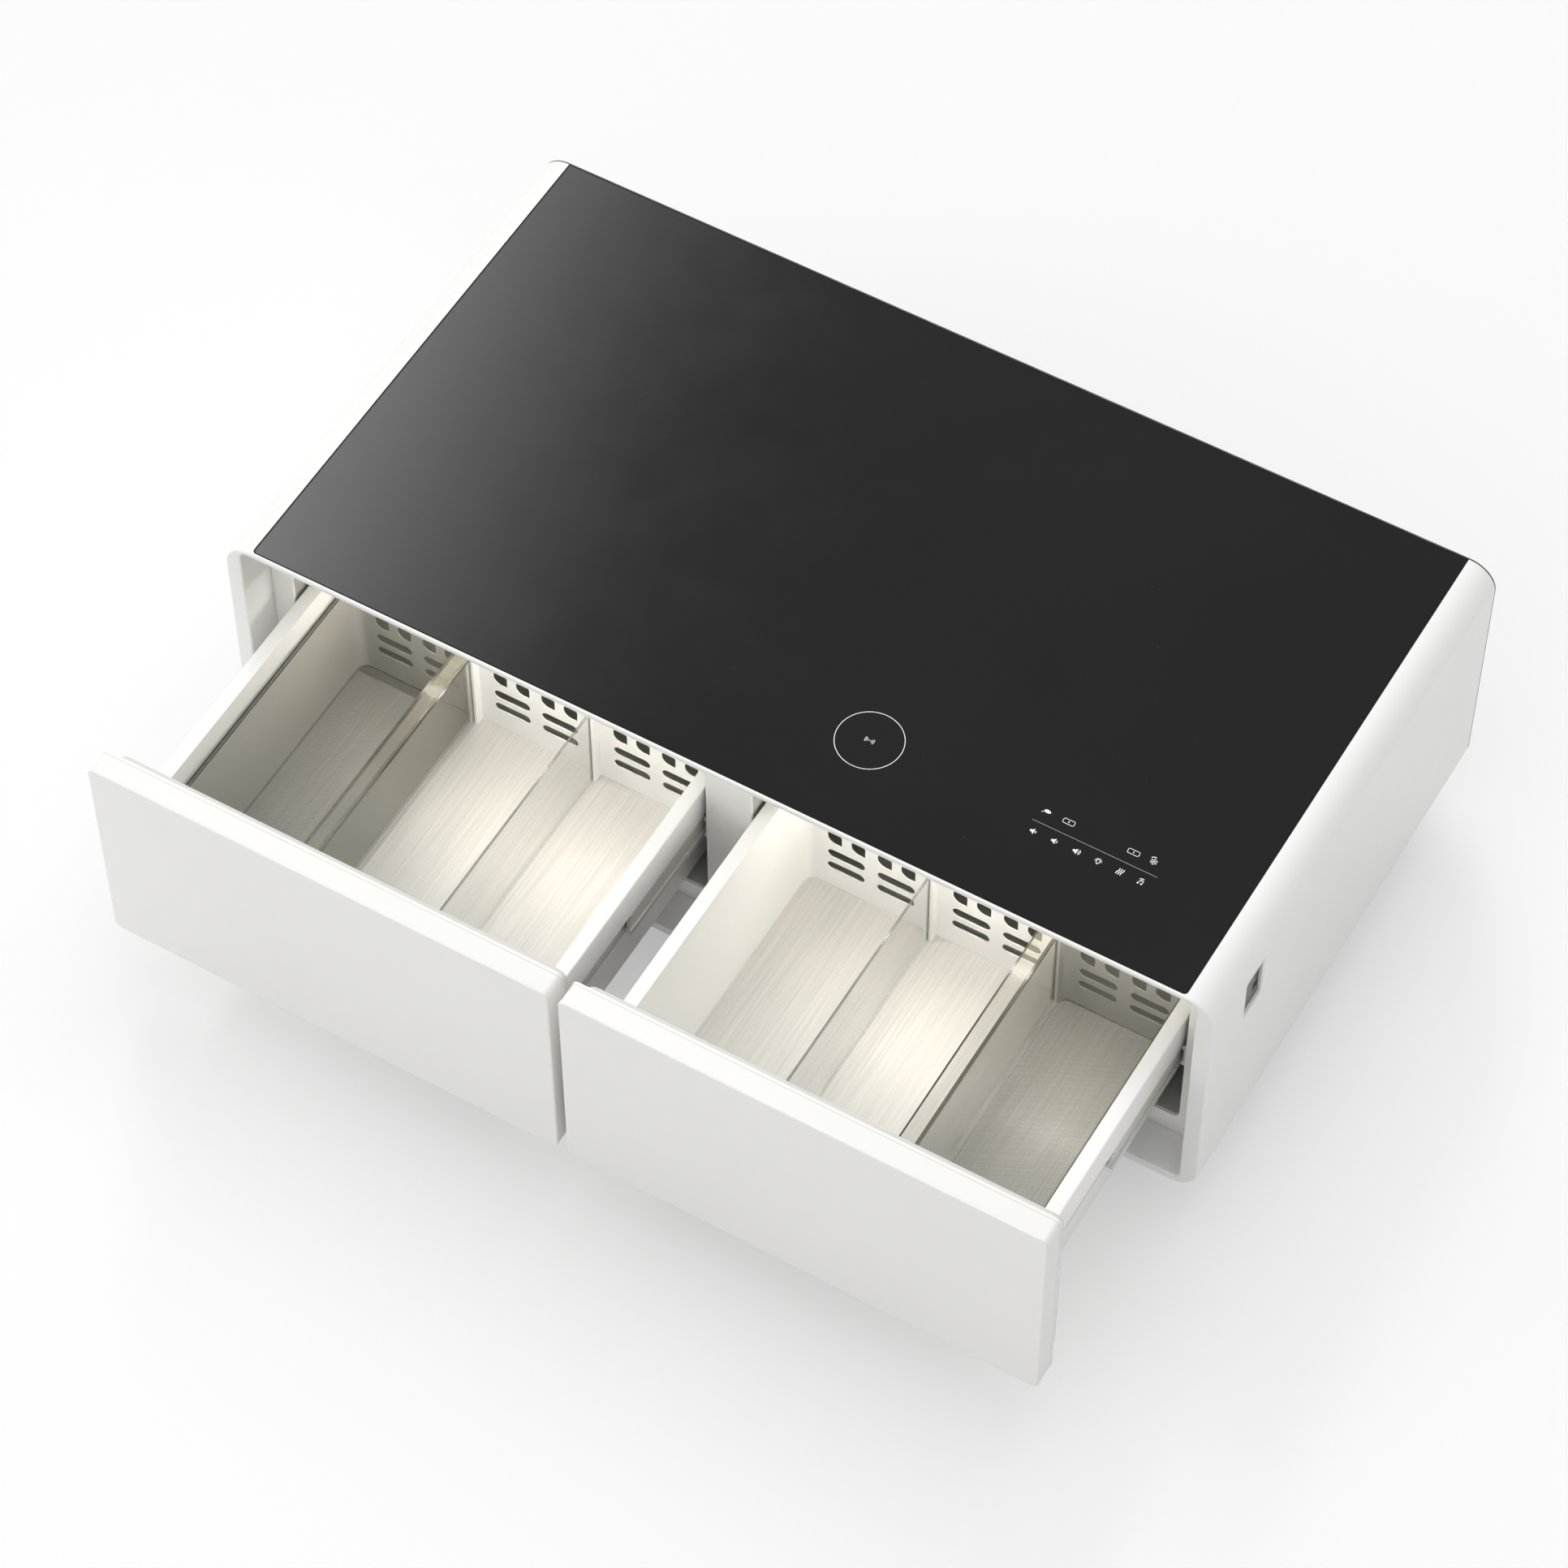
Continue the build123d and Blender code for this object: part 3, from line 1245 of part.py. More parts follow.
# Levelling feet: threaded stems with lock nuts, in rubber pads
with BuildPart() as stems:
    with BuildSketch(Plane.XY.offset(foot_pad_height)):
        with Locations((0, plinth_middle_y)):
            with GridLocations(foot_spread_x, foot_spread_y, 2, 2):
                Circle(foot_stem_radius)
    extrude(amount=foot_height + foot_stem_inside - foot_pad_height)
    with BuildSketch(Plane.XY.offset(foot_height)):
        with Locations((0, plinth_middle_y)):
            with GridLocations(foot_spread_x, foot_spread_y, 2, 2):
                RegularPolygon(foot_nut_radius, nut_sides)
    extrude(amount=-foot_nut_height)
keep(stems, "foot_stems")

with BuildPart() as pads:
    with BuildSketch():
        with Locations((0, plinth_middle_y)):
            with GridLocations(foot_spread_x, foot_spread_y, 2, 2):
                Circle(foot_pad_radius)
    extrude(amount=foot_pad_height, taper=foot_pad_slope)
keep(pads, "foot_pads")
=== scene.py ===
"""Finishes, printed marks and studio of the refrigerator coffee table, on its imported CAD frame."""

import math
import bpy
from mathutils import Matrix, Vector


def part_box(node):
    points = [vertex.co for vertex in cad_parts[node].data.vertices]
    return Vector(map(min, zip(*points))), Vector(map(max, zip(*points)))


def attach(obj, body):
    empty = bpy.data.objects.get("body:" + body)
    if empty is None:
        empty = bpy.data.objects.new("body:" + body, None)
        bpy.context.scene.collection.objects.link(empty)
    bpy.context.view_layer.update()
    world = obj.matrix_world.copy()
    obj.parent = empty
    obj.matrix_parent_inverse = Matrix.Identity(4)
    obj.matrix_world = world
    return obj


bl_info = {
    "name": "Refrigerator Coffee Table",
    "version": (1, 0, 0),
    "blender": (4, 5, 0),
    "location": "3D View > Sidebar > Table",
    "description": "Dresses the packed refrigerator coffee table and sets its studio",
    "category": "Object",
}

import bmesh
import bpy
from bpy.props import FloatProperty, FloatVectorProperty, PointerProperty
from mathutils import Matrix, Vector

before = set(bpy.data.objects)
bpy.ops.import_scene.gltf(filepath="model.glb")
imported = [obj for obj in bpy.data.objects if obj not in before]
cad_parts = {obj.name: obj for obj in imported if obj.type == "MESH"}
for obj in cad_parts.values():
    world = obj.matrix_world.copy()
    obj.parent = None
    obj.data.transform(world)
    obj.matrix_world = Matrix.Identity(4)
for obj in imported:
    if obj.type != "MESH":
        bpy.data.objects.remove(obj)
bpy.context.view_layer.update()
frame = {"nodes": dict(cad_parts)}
nodes = frame["nodes"]
glass_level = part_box("glass_top")[1].z

SIDES = ("left", "right")
BLACK = (0.0, 0.0, 0.0, 1.0)

# A CAD mesh is merged where its seams are closer than this, in metres
SEAM_GAP = 0.00001
# Faces that meet at less than the first turn shade smooth, and edges sharper than the second are broken
SMOOTH_TURN = math.radians(32)
BROKEN_TURN = math.radians(50)

# Widths of the softly broken edges, in metres
FINE_EDGE = 0.0003
SHEET_EDGE = 0.0004
PRESSED_EDGE = 0.0005
MOULDED_EDGE = 0.0006
PLATE_EDGE = 0.0008
SOFT_EDGE = 0.0015

# Most of a noise lies between these values
NOISE_BAND = (0.3, 0.7)
# Cosines of the turn at which a face starts to count as an edge, and is one in full
EDGE_TURNS = (0.97, 0.80)

# Each finish as surface() takes it. A base that is a word is a colour of the panel.
FINISHES = {
    "White powder coat": dict(
        base="cabinet", kind="powder", gloss=0.34, Tone=0.025, depth=0.000012, rub=0.25
    ),
    "White front": dict(base="fronts", kind="powder", gloss=0.33, Tone=0.02, rub=0.3),
    "Dark steel": dict(base="dark", kind="powder", gloss=0.45, dust=0.35),
    "Compressor enamel": dict(
        base=(0.012, 0.012, 0.013), kind="powder", gloss=0.22, edge=(0.06, 0.06, 0.06), dust=0.3
    ),
    "Frame plastic": dict(base="frame", gloss=0.42),
    # The core's dark grey edges are painted shade in its seams against the fascia and the back plate
    "Front core": dict(base="fronts", gloss=0.4, edge=(0.42, 0.42, 0.40), rub=0.8),
    "Front back plate": dict(base="fronts", gloss=0.36),
    "Soft gasket": dict(base="gasket", gloss=0.6, shade=0.85, rub=0.2),
    "White tub": dict(base="tub", gloss=0.35, rub=0.35, depth=0.00001),
    "Liner plastic": dict(base="liner", gloss=0.4),
    "White ink": dict(base="marks", gloss=0.4, rub=0.0),
    "Grey ink": dict(base="slider", gloss=0.4, rub=0.0),
    "Black seal": dict(base=(0.012, 0.012, 0.012), gloss=0.6, rub=0.1),
    # Own plastic colour made darker and olive: partly painted shade of the space behind the tub vents
    "Duct plastic": dict(base=(0.30, 0.30, 0.24), gloss=0.42),
    "Fan plastic": dict(base=(0.03, 0.03, 0.032), gloss=0.42, edge=(0.12, 0.12, 0.12), dust=0.12),
    "Grey housing": dict(base=(0.14, 0.14, 0.145), gloss=0.5, dust=0.25),
    "Black rubber": dict(base=(0.018, 0.018, 0.018), gloss=0.75, rub=0.2, dust=0.3),
    "Black socket": dict(base=(0.014, 0.014, 0.014), gloss=0.4, edge=(0.05, 0.05, 0.05)),
    "Solder mask": dict(base=(0.012, 0.10, 0.035), gloss=0.36, edge=(0.1, 0.2, 0.1)),
    "Injected foam": dict(
        base=(0.62, 0.52, 0.28), gloss=0.85, Shade=(0.5, 0.40, 0.2, 1), Grain=260.0, depth=0.0006
    ),
    "Brushed tub floor": dict(
        base="floor_sheet", kind="brushed", gloss=0.48, metal=0.4,
        Streaks=(900.0, 7.0, 900.0), Contrast=0.22,
    ),
    "Zinc plated slide": dict(
        base=(0.70, 0.70, 0.66), kind="brushed", gloss=0.36, metal=0.35,
        Streaks=(900.0, 6.0, 900.0), edge=(0.45, 0.45, 0.42),
    ),
    "Mill aluminium": dict(
        base=(0.62, 0.62, 0.63), kind="brushed", gloss=0.34, metal=0.95,
        Streaks=(7.0, 700.0, 700.0), edge=(0.8, 0.8, 0.8),
    ),
    "Drawn copper": dict(
        base=(0.72, 0.33, 0.18), kind="brushed", gloss=0.3, metal=1.0,
        Streaks=(40.0, 300.0, 300.0), edge=(0.85, 0.45, 0.28),
    ),
    "Galvanised steel": dict(
        base=(0.48, 0.48, 0.47), kind="brushed", gloss=0.42, metal=0.8,
        Streaks=(60.0, 80.0, 60.0), Contrast=0.3,
    ),
    "Blackened steel": dict(
        base=(0.16, 0.16, 0.16), kind="brushed", gloss=0.4, metal=0.9,
        Streaks=(300.0, 300.0, 300.0), edge=(0.45, 0.45, 0.45),
    ),
    "Plated contact": dict(
        base=(0.62, 0.6, 0.5), kind="brushed", gloss=0.28, metal=1.0,
        Streaks=(400.0, 20.0, 400.0), edge=(0.8, 0.78, 0.7),
    ),
}

# The clear bin's hooked flange, the painted shade lines and edges that stand in for what clear plastic
# shows by refraction, and how far under its highest level the painted shade on its top begins, in
# metres
BIN_HOOK_REACH = 0.021
BIN_WALL = 0.0025
CLEAR_SHADE_LINE_INSET = 0.0008
CLEAR_SHADE_LINE_HALF = 0.0008
CLEAR_EDGE_SHADE_WIDTH = 0.0022
CLEAR_TOP_SHADE_START = 0.0035
CLEAR_TOP_SHADE_FULL = 0.0030

# Depth from the mouth of the side recess to where the painted shade on its back wall begins, in metres
PORT_SHADE_DEPTH = 0.0046
PORT_SHADE_FADE = 0.0004

# Places of the printed marks on the glass, in metres
RING_CENTRE = (0.1417, -0.0614)
RING_STEPS = 120
WIRELESS_SIZE = 0.0125
UPPER_ROW = -0.0476
LOWER_ROW = -0.0785
SLIDER_ENDS = ((0.3533, -0.0645), (0.5115, -0.0645))

# Name, place, aim, size, power setting and whether the camera sees it
LAMPS = (
    ("Overhead lamp", (0.3, 0.4, 4.6), (0, 0, 0.2), (3.2, 3.2), "key", True),
    ("Side lamp", (-3.6, -3.2, 1.7), (0, -0.2, 0.3), (2.5, 2.5), "side", True),
    ("Recess lamp", (0, -0.176, 0.436), (0, -0.14, 0.36), (0.16, 0.02), "recess", False),
)
FLOOR_REACH = 30.0
FLOOR_CELLS = 8

# The camera as it was fitted to the photograph: place, and directions of its frame
CAMERA_PLACE = (1.8715, -3.1823, 5.3188)
CAMERA_RIGHT = Vector((0.86302032, 0.505162, -0.00269893))
CAMERA_DOWN = Vector((0.40827515, -0.70062495, -0.58518038))
CAMERA_AHEAD = Vector((-0.29750183, 0.50392065, -0.81089866))
SENSOR_WIDTH = 36.0
VIEW_END = 60.0


def colour(name, words, value):
    """A colour property that can be changed in the panel."""
    return FloatVectorProperty(
        name=name, description=words, subtype="COLOR", size=3, min=0, max=1, default=value
    )


def length(name, words, value):
    """A length property in metres."""
    return FloatProperty(
        name=name, description=words, subtype="DISTANCE", unit="LENGTH", min=0, default=value
    )


def strength(name, words, value):
    """A property for a plain number from nought up."""
    return FloatProperty(name=name, description=words, min=0, default=value)


class TableColours(bpy.types.PropertyGroup):
    """Colours of the table's finishes"""

    cabinet: colour("Cabinet", "Powder coat of the wrapped shell", (0.90, 0.90, 0.88))
    fronts: colour("Fronts", "Bright plastic of the drawer fronts", (0.875, 0.87, 0.845))
    frame: colour("Frame", "Plastic of the front frame", (0.95, 0.945, 0.91))
    tub: colour("Tubs", "Moulded plastic of the drawer tubs", (0.95, 0.943, 0.925))
    # Liners: own plastic colour made darker and olive, partly painted shade inside the compartments
    liner: colour("Liners", "Plastic inside the cold compartments", (0.50, 0.50, 0.46))
    glass: colour("Glass", "Ink behind the glass top", (0.0065, 0.0065, 0.0067))
    marks: colour("Marks", "Printed marks on the glass", (0.86, 0.87, 0.88))
    slider: colour("Slider", "Printed line between the rows of marks", (0.24, 0.24, 0.24))
    gasket: colour("Gaskets", "Soft seal behind the fronts", (0.72, 0.72, 0.70))
    floor_sheet: colour("Tub floors", "Brushed sheet on the tubs' floors", (0.68, 0.67, 0.64))
    dark: colour("Dark parts", "Rear panel, plinth and other dark steel", (0.035, 0.035, 0.038))


class PrintSizes(bpy.types.PropertyGroup):
    """Sizes of the marks on the glass"""

    ring: length("Ring", "Diameter of the charging ring", 0.0805)
    line: length("Line", "Width of the charging ring's line", 0.0009)
    slider: length("Slider", "Width of the line between the rows", 0.0008)
    mark: length("Mark", "Height of one mark", 0.0088)
    ink: length("Ink", "Thickness of the ink", 0.00006)


class StudioSettings(bpy.types.PropertyGroup):
    """Camera and light"""

    lens: FloatProperty(name="Lens", description="Focal length in millimetres", min=1, default=122.38)
    sky: strength("Sky", "Strength of the even light", 0.80)
    key: strength("Key", "Power of the lamp overhead", 43.0)
    side: strength("Side", "Power of the lamp at the left", 27.0)
    recess: strength("Recess", "Power of the lamp under the lip", 0.028)
    glow: strength("Glow", "Strength of the bright patch of sky", 10.0)
    strips: strength("Strips", "Strength of the light strips in the table", 36.0)
    haze: FloatProperty(
        name="Haze", description="Share of plain white in the seen floor", min=0, max=1, default=0.40
    )
    floor: colour("Floor", "Plain floor", (0.93, 0.93, 0.93))


def colours():
    """The colour settings of the scene."""
    return bpy.context.scene.table_colours


def sizes():
    """The print sizes of the scene."""
    return bpy.context.scene.table_prints


# Node helpers
def new_group(name, inputs, outputs):
    """An empty shader group with these sockets, and its two end nodes."""
    tree = bpy.data.node_groups.new(name, "ShaderNodeTree")
    for label, kind, default in inputs:
        made = tree.interface.new_socket(label, in_out="INPUT", socket_type=kind)
        made.default_value = default
    for label, kind in outputs:
        tree.interface.new_socket(label, in_out="OUTPUT", socket_type=kind)
    return tree, tree.nodes.new("NodeGroupInput"), tree.nodes.new("NodeGroupOutput")


def add_node(tree, kind, settings=None, **values):
    """A node with its settings, and plain values on its sockets."""
    made = tree.nodes.new(kind)
    for name, value in (settings or {}).items():
        setattr(made, name, value)
    for name, value in values.items():
        made.inputs[name.replace("_", " ")].default_value = value
    return made


def join(tree, value, socket):
    """Link an output to an input socket, or put a plain value on it."""
    if hasattr(value, "links"):
        tree.links.new(value, socket)
    else:
        socket.default_value = value


def combine(tree, operation, *values):
    """A math node on sockets and plain numbers."""
    made = add_node(tree, "ShaderNodeMath", {"operation": operation})
    for place, value in enumerate(values):
        join(tree, value, made.inputs[place])
    return made.outputs[0]


def spread(tree, source, low, high, to_low, to_high):
    """Map a value from one range to another, clamped."""
    made = add_node(tree, "ShaderNodeMapRange")
    for name, value in zip(("From Min", "From Max", "To Min", "To Max"), (low, high, to_low, to_high)):
        made.inputs[name].default_value = value
    join(tree, source, made.inputs["Value"])
    return made.outputs["Result"]


def vary(tree, source, low=0.0, high=1.0):
    """Map the band that most of a noise lies in to a range."""
    return spread(tree, source, *NOISE_BAND, low, high)


def blend_colours(tree, share, first, second):
    """Mix two colours by a share."""
    made = add_node(tree, "ShaderNodeMix", {"data_type": "RGBA"})
    factor, first_colour, second_colour, result = 0, 6, 7, 2
    join(tree, share, made.inputs[factor])
    join(tree, first, made.inputs[first_colour])
    join(tree, second, made.inputs[second_colour])
    return made.outputs[result]


def noise(tree, place, scale, detail=3.0, roughness=0.5):
    """Noise at a place, from nought to one."""
    made = add_node(tree, "ShaderNodeTexNoise", Detail=detail, Roughness=roughness)
    join(tree, scale, made.inputs["Scale"])
    join(tree, place, made.inputs["Vector"])
    return made.outputs["Fac"]


def object_place(tree):
    """Coordinates fixed to the object."""
    return add_node(tree, "ShaderNodeTexCoord").outputs["Object"]


def split(tree, vector):
    """The outputs of a vector's three parts."""
    made = add_node(tree, "ShaderNodeSeparateXYZ")
    join(tree, vector, made.inputs[0])
    return made.outputs


def facing(tree):
    """The direction that the surface faces."""
    return add_node(tree, "ShaderNodeNewGeometry").outputs["Normal"]


# Node groups shared by the materials
COLOUR, NUMBER, VECTOR = "NodeSocketColor", "NodeSocketFloat", "NodeSocketVector"
GRAIN_OUTPUTS = (("Color", COLOUR), ("Roughness", NUMBER), ("Height", NUMBER))


def powder_coat():
    """Fine orange peel with slow changes of tone."""
    tree, start, end = new_group(
        "Powder coat",
        (
            ("Color", COLOUR, (0.8, 0.8, 0.8, 1)),
            ("Tone", NUMBER, 0.03),
            ("Gloss", NUMBER, 0.35),
            ("Peel", NUMBER, 900.0),
        ),
        GRAIN_OUTPUTS,
    )
    place = object_place(tree)
    slow = vary(tree, noise(tree, place, scale=3.5, detail=4.0))
    shade = combine(tree, "MULTIPLY", slow, start.outputs["Tone"])
    join(tree, blend_colours(tree, shade, start.outputs["Color"], BLACK), end.inputs["Color"])
    join(tree, noise(tree, place, scale=start.outputs["Peel"], detail=2.0), end.inputs["Height"])
    patches = vary(tree, noise(tree, place, scale=24.0), -0.02, 0.03)
    join(tree, combine(tree, "ADD", start.outputs["Gloss"], patches), end.inputs["Roughness"])
    return tree


def moulded_grain():
    """Faint speckle and flow marks of moulded plastic."""
    tree, start, end = new_group(
        "Moulded grain",
        (
            ("Color", COLOUR, (0.8, 0.8, 0.8, 1)),
            ("Shade", COLOUR, (0.7, 0.7, 0.7, 1)),
            ("Gloss", NUMBER, 0.3),
            ("Grain", NUMBER, 1500.0),
        ),
        GRAIN_OUTPUTS,
    )
    place = object_place(tree)
    flow = spread(tree, noise(tree, place, scale=6.0), 0.42, 0.75, 0.0, 0.3)
    tone = blend_colours(tree, flow, start.outputs["Color"], start.outputs["Shade"])
    join(tree, tone, end.inputs["Color"])
    speckle = add_node(tree, "ShaderNodeTexVoronoi")
    join(tree, place, speckle.inputs["Vector"])
    join(tree, start.outputs["Grain"], speckle.inputs["Scale"])
    join(tree, speckle.outputs["Distance"], end.inputs["Height"])
    patches = vary(tree, noise(tree, place, scale=60.0), -0.03, 0.03)
    join(tree, combine(tree, "ADD", start.outputs["Gloss"], patches), end.inputs["Roughness"])
    return tree


def brushed_grain():
    """Streaks of brushed or drawn metal along one axis."""
    tree, start, end = new_group(
        "Brushed grain",
        (
            ("Color", COLOUR, (0.6, 0.6, 0.6, 1)),
            ("Streaks", VECTOR, (8.0, 900.0, 900.0)),
            ("Contrast", NUMBER, 0.12),
            ("Gloss", NUMBER, 0.32),
        ),
        GRAIN_OUTPUTS,
    )
    stretch = add_node(tree, "ShaderNodeVectorMath", {"operation": "MULTIPLY"})
    join(tree, object_place(tree), stretch.inputs[0])
    join(tree, start.outputs["Streaks"], stretch.inputs[1])
    streak = noise(tree, stretch.outputs[0], scale=1.0, detail=4.0, roughness=0.65)
    shade = combine(tree, "MULTIPLY", vary(tree, streak), start.outputs["Contrast"])
    join(tree, blend_colours(tree, shade, start.outputs["Color"], BLACK), end.inputs["Color"])
    rough = combine(tree, "ADD", start.outputs["Gloss"], vary(tree, streak, -0.08, 0.1))
    join(tree, rough, end.inputs["Roughness"])
    join(tree, streak, end.inputs["Height"])
    return tree


def rubbed_and_painted_edges():
    """A mask and colour where edges wear lighter or darker, or carry a painted highlight or painted
    shade.
    """
    tree, start, end = new_group(
        "Rubbed edges",
        (
            ("Color", COLOUR, (0.8, 0.8, 0.8, 1)),
            ("Edge Color", COLOUR, (0.9, 0.9, 0.9, 1)),
            ("Width", NUMBER, 0.0012),
            ("Strength", NUMBER, 0.5),
        ),
        (("Color", COLOUR), ("Mask", NUMBER)),
    )
    rounded = add_node(tree, "ShaderNodeBevel", {"samples": 6})
    join(tree, start.outputs["Width"], rounded.inputs["Radius"])
    turn = add_node(tree, "ShaderNodeVectorMath", {"operation": "DOT_PRODUCT"})
    join(tree, rounded.outputs[0], turn.inputs[0])
    join(tree, facing(tree), turn.inputs[1])
    edge = spread(tree, turn.outputs["Value"], *EDGE_TURNS, 0.0, 1.0)
    patch_noise = noise(tree, object_place(tree), scale=45.0, detail=4.0, roughness=0.7)
    patchy = combine(tree, "MULTIPLY", edge, spread(tree, patch_noise, 0.3, 0.62, 0.6, 1.0))
    mask = combine(tree, "MULTIPLY", patchy, start.outputs["Strength"])
    tone = blend_colours(tree, mask, start.outputs["Color"], start.outputs["Edge Color"])
    join(tree, tone, end.inputs["Color"])
    join(tree, mask, end.inputs["Mask"])
    return tree


def settled_dust():
    """Clumps of dust, thick on what faces up and thin elsewhere."""
    tree, start, end = new_group(
        "Settled dust",
        (
            ("Color", COLOUR, (0.8, 0.8, 0.8, 1)),
            ("Dust Color", COLOUR, (0.45, 0.43, 0.40, 1)),
            ("Amount", NUMBER, 0.2),
            ("Roughness", NUMBER, 0.4),
        ),
        (("Color", COLOUR), ("Roughness", NUMBER)),
    )
    up = spread(tree, split(tree, facing(tree))["Z"], 0.2, 1.0, 0.15, 1.0)
    clumps = noise(tree, object_place(tree), scale=26.0, detail=6.0, roughness=0.7)
    both = combine(tree, "MULTIPLY", up, spread(tree, clumps, 0.42, 0.8, 0.0, 1.0))
    mask = combine(tree, "MULTIPLY", both, start.outputs["Amount"])
    tone = blend_colours(tree, mask, start.outputs["Color"], start.outputs["Dust Color"])
    join(tree, tone, end.inputs["Color"])
    join(tree, combine(tree, "ADD", start.outputs["Roughness"], mask), end.inputs["Roughness"])
    return tree


GROUPS = {}
GROUP_MAKERS = {
    "powder": powder_coat,
    "moulded": moulded_grain,
    "brushed": brushed_grain,
    "edges": rubbed_and_painted_edges,
    "dust": settled_dust,
}


def place_group(tree, key, **values):
    """Put a shared group in a material with its own values."""
    if key not in GROUPS:
        GROUPS[key] = GROUP_MAKERS[key]()
    made = tree.nodes.new("ShaderNodeGroup")
    made.node_tree = GROUPS[key]
    for name, value in values.items():
        made.inputs[name.replace("_", " ")].default_value = value
    return made


# Materials
MATERIALS = {}


def opaque(value):
    """A colour with full alpha."""
    return (*value[:3], 1.0)


def scaled(value, share):
    """A colour made darker or lighter."""
    return tuple(min(1.0, part * share) for part in value[:3])


def start_material(name):
    """A new material, its node tree and its shader."""
    made = bpy.data.materials.new(name)
    made.use_nodes = True
    MATERIALS[name] = made
    return made, made.node_tree, made.node_tree.nodes["Principled BSDF"]


def bump(tree, shader, height, depth, strength=1.0):
    """Raise the surface by a height."""
    made = add_node(tree, "ShaderNodeBump", Strength=strength, Distance=depth)
    join(tree, height, made.inputs["Height"])
    join(tree, made.outputs["Normal"], shader.inputs["Normal"])


def surface(
    name, base, kind="moulded", gloss=0.35, metal=0.0, edge=None, edge_light=1.12, width=0.0012,
    rub=0.4, dust=0.0, depth=0.000008, shade=0.955, **values
):
    """A finish: grain of its kind, then edges that wear lighter or darker or carry painted highlight or
    shade, then dust.
    """
    made, tree, shader = start_material(name)
    grain = place_group(tree, kind, Color=opaque(base), Gloss=gloss, **values)
    if kind == "moulded" and "Shade" not in values:
        grain.inputs["Shade"].default_value = opaque(scaled(base, shade))
    # Edge colour: wear on most finishes, painted highlight or painted shade on some
    edge_colour = opaque(edge or scaled(base, edge_light))
    edges = place_group(tree, "edges", Edge_Color=edge_colour, Width=width, Strength=rub)
    join(tree, grain.outputs["Color"], edges.inputs["Color"])
    tone, rough = edges.outputs["Color"], grain.outputs["Roughness"]
    if dust:
        settled = place_group(tree, "dust", Amount=dust)
        join(tree, tone, settled.inputs["Color"])
        join(tree, rough, settled.inputs["Roughness"])
        tone, rough = settled.outputs["Color"], settled.outputs["Roughness"]
    join(tree, tone, shader.inputs["Base Color"])
    join(tree, rough, shader.inputs["Roughness"])
    join(tree, metal, shader.inputs["Metallic"])
    bump(tree, shader, grain.outputs["Height"], depth)
    return made


def clear_plastic(name, tint, seen, top, top_shade, lines=()):
    """Clear plastic: faint face on, denser at a slant, with painted shade on its top, its edges and
    some lines.
    """
    made, tree, shader = start_material(name)
    place = object_place(tree)
    haze = noise(tree, place, scale=12.0, detail=5.0, roughness=0.65)
    join(tree, spread(tree, haze, 0.4, 0.75, 0.15, 0.24), shader.inputs["Roughness"])
    level, normal = split(tree, place), split(tree, facing(tree))
    # Painted shade: the top face and the given lines near the top turn dark, standing in for refraction
    on_top = spread(tree, level["Z"], top - CLEAR_TOP_SHADE_START, top - CLEAR_TOP_SHADE_FULL, 0.0, 1.0)
    dark = combine(tree, "MULTIPLY", spread(tree, normal["Z"], 0.6, 0.9, 0.0, top_shade), on_top)
    across = combine(tree, "ABSOLUTE", level["X"])
    for line in lines:
        near = combine(tree, "COMPARE", across, line, CLEAR_SHADE_LINE_HALF)
        dark = combine(tree, "MAXIMUM", dark, combine(tree, "MULTIPLY", near, on_top))
    # Painted shade along every edge of the clear plastic as well
    edges = place_group(tree, "edges", Width=CLEAR_EDGE_SHADE_WIDTH, Strength=1.0)
    dark = combine(tree, "MAXIMUM", dark, spread(tree, edges.outputs["Mask"], 0.0, 0.5, 0.0, 1.0))
    tone = blend_colours(tree, dark, opaque(tint), opaque(scaled(tint, 0.15)))
    join(tree, tone, shader.inputs["Base Color"])
    slant = add_node(tree, "ShaderNodeLayerWeight", Blend=0.35)
    face = spread(tree, slant.outputs["Facing"], 0.2, 1.0, seen, seen + 0.22)
    alpha = combine(tree, "MAXIMUM", face, combine(tree, "MULTIPLY", dark, 0.9))
    join(tree, alpha, shader.inputs["Alpha"])
    shader.inputs["IOR"].default_value = 1.49
    shader.inputs["Specular IOR Level"].default_value = 0.35
    bump(tree, shader, noise(tree, place, scale=30.0, detail=2.0), 0.00002, 0.15)
    return made


def clear_bin(name):
    """Clear plastic of the bins, with painted shade lines along both walls and the hooked flange."""
    low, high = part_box("right_fruit_bin")
    hook = low.x + BIN_HOOK_REACH
    lines = (
        low.x + CLEAR_SHADE_LINE_INSET,
        hook,
        hook + BIN_WALL,
        high.x - BIN_WALL * 2,
        high.x - CLEAR_SHADE_LINE_INSET,
    )
    return clear_plastic(name, (0.33, 0.315, 0.25), seen=0.19, top=high.z, top_shade=0.08, lines=lines)


def clear_divider(name):
    """Clear plastic of the dividers, with painted shade on the top."""
    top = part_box("right_dividers")[1].z
    return clear_plastic(name, (0.34, 0.34, 0.30), seen=0.05, top=top, top_shade=0.75)


def lit_diffuser(name):
    """Frosted diffuser of a light strip."""
    made, tree, shader = start_material(name)
    tint = (1.0, 0.96, 0.88)
    frost = vary(tree, noise(tree, object_place(tree), scale=300.0))
    base = blend_colours(tree, frost, opaque(tint), opaque(scaled(tint, 0.93)))
    light = blend_colours(tree, frost, opaque(tint), opaque(scaled(tint, 0.9)))
    join(tree, base, shader.inputs["Base Color"])
    join(tree, light, shader.inputs["Emission Color"])
    shader.inputs["Roughness"].default_value = 0.45
    shader.inputs["Emission Strength"].default_value = bpy.context.scene.table_studio.strips
    bump(tree, shader, frost, 0.00005)
    return made


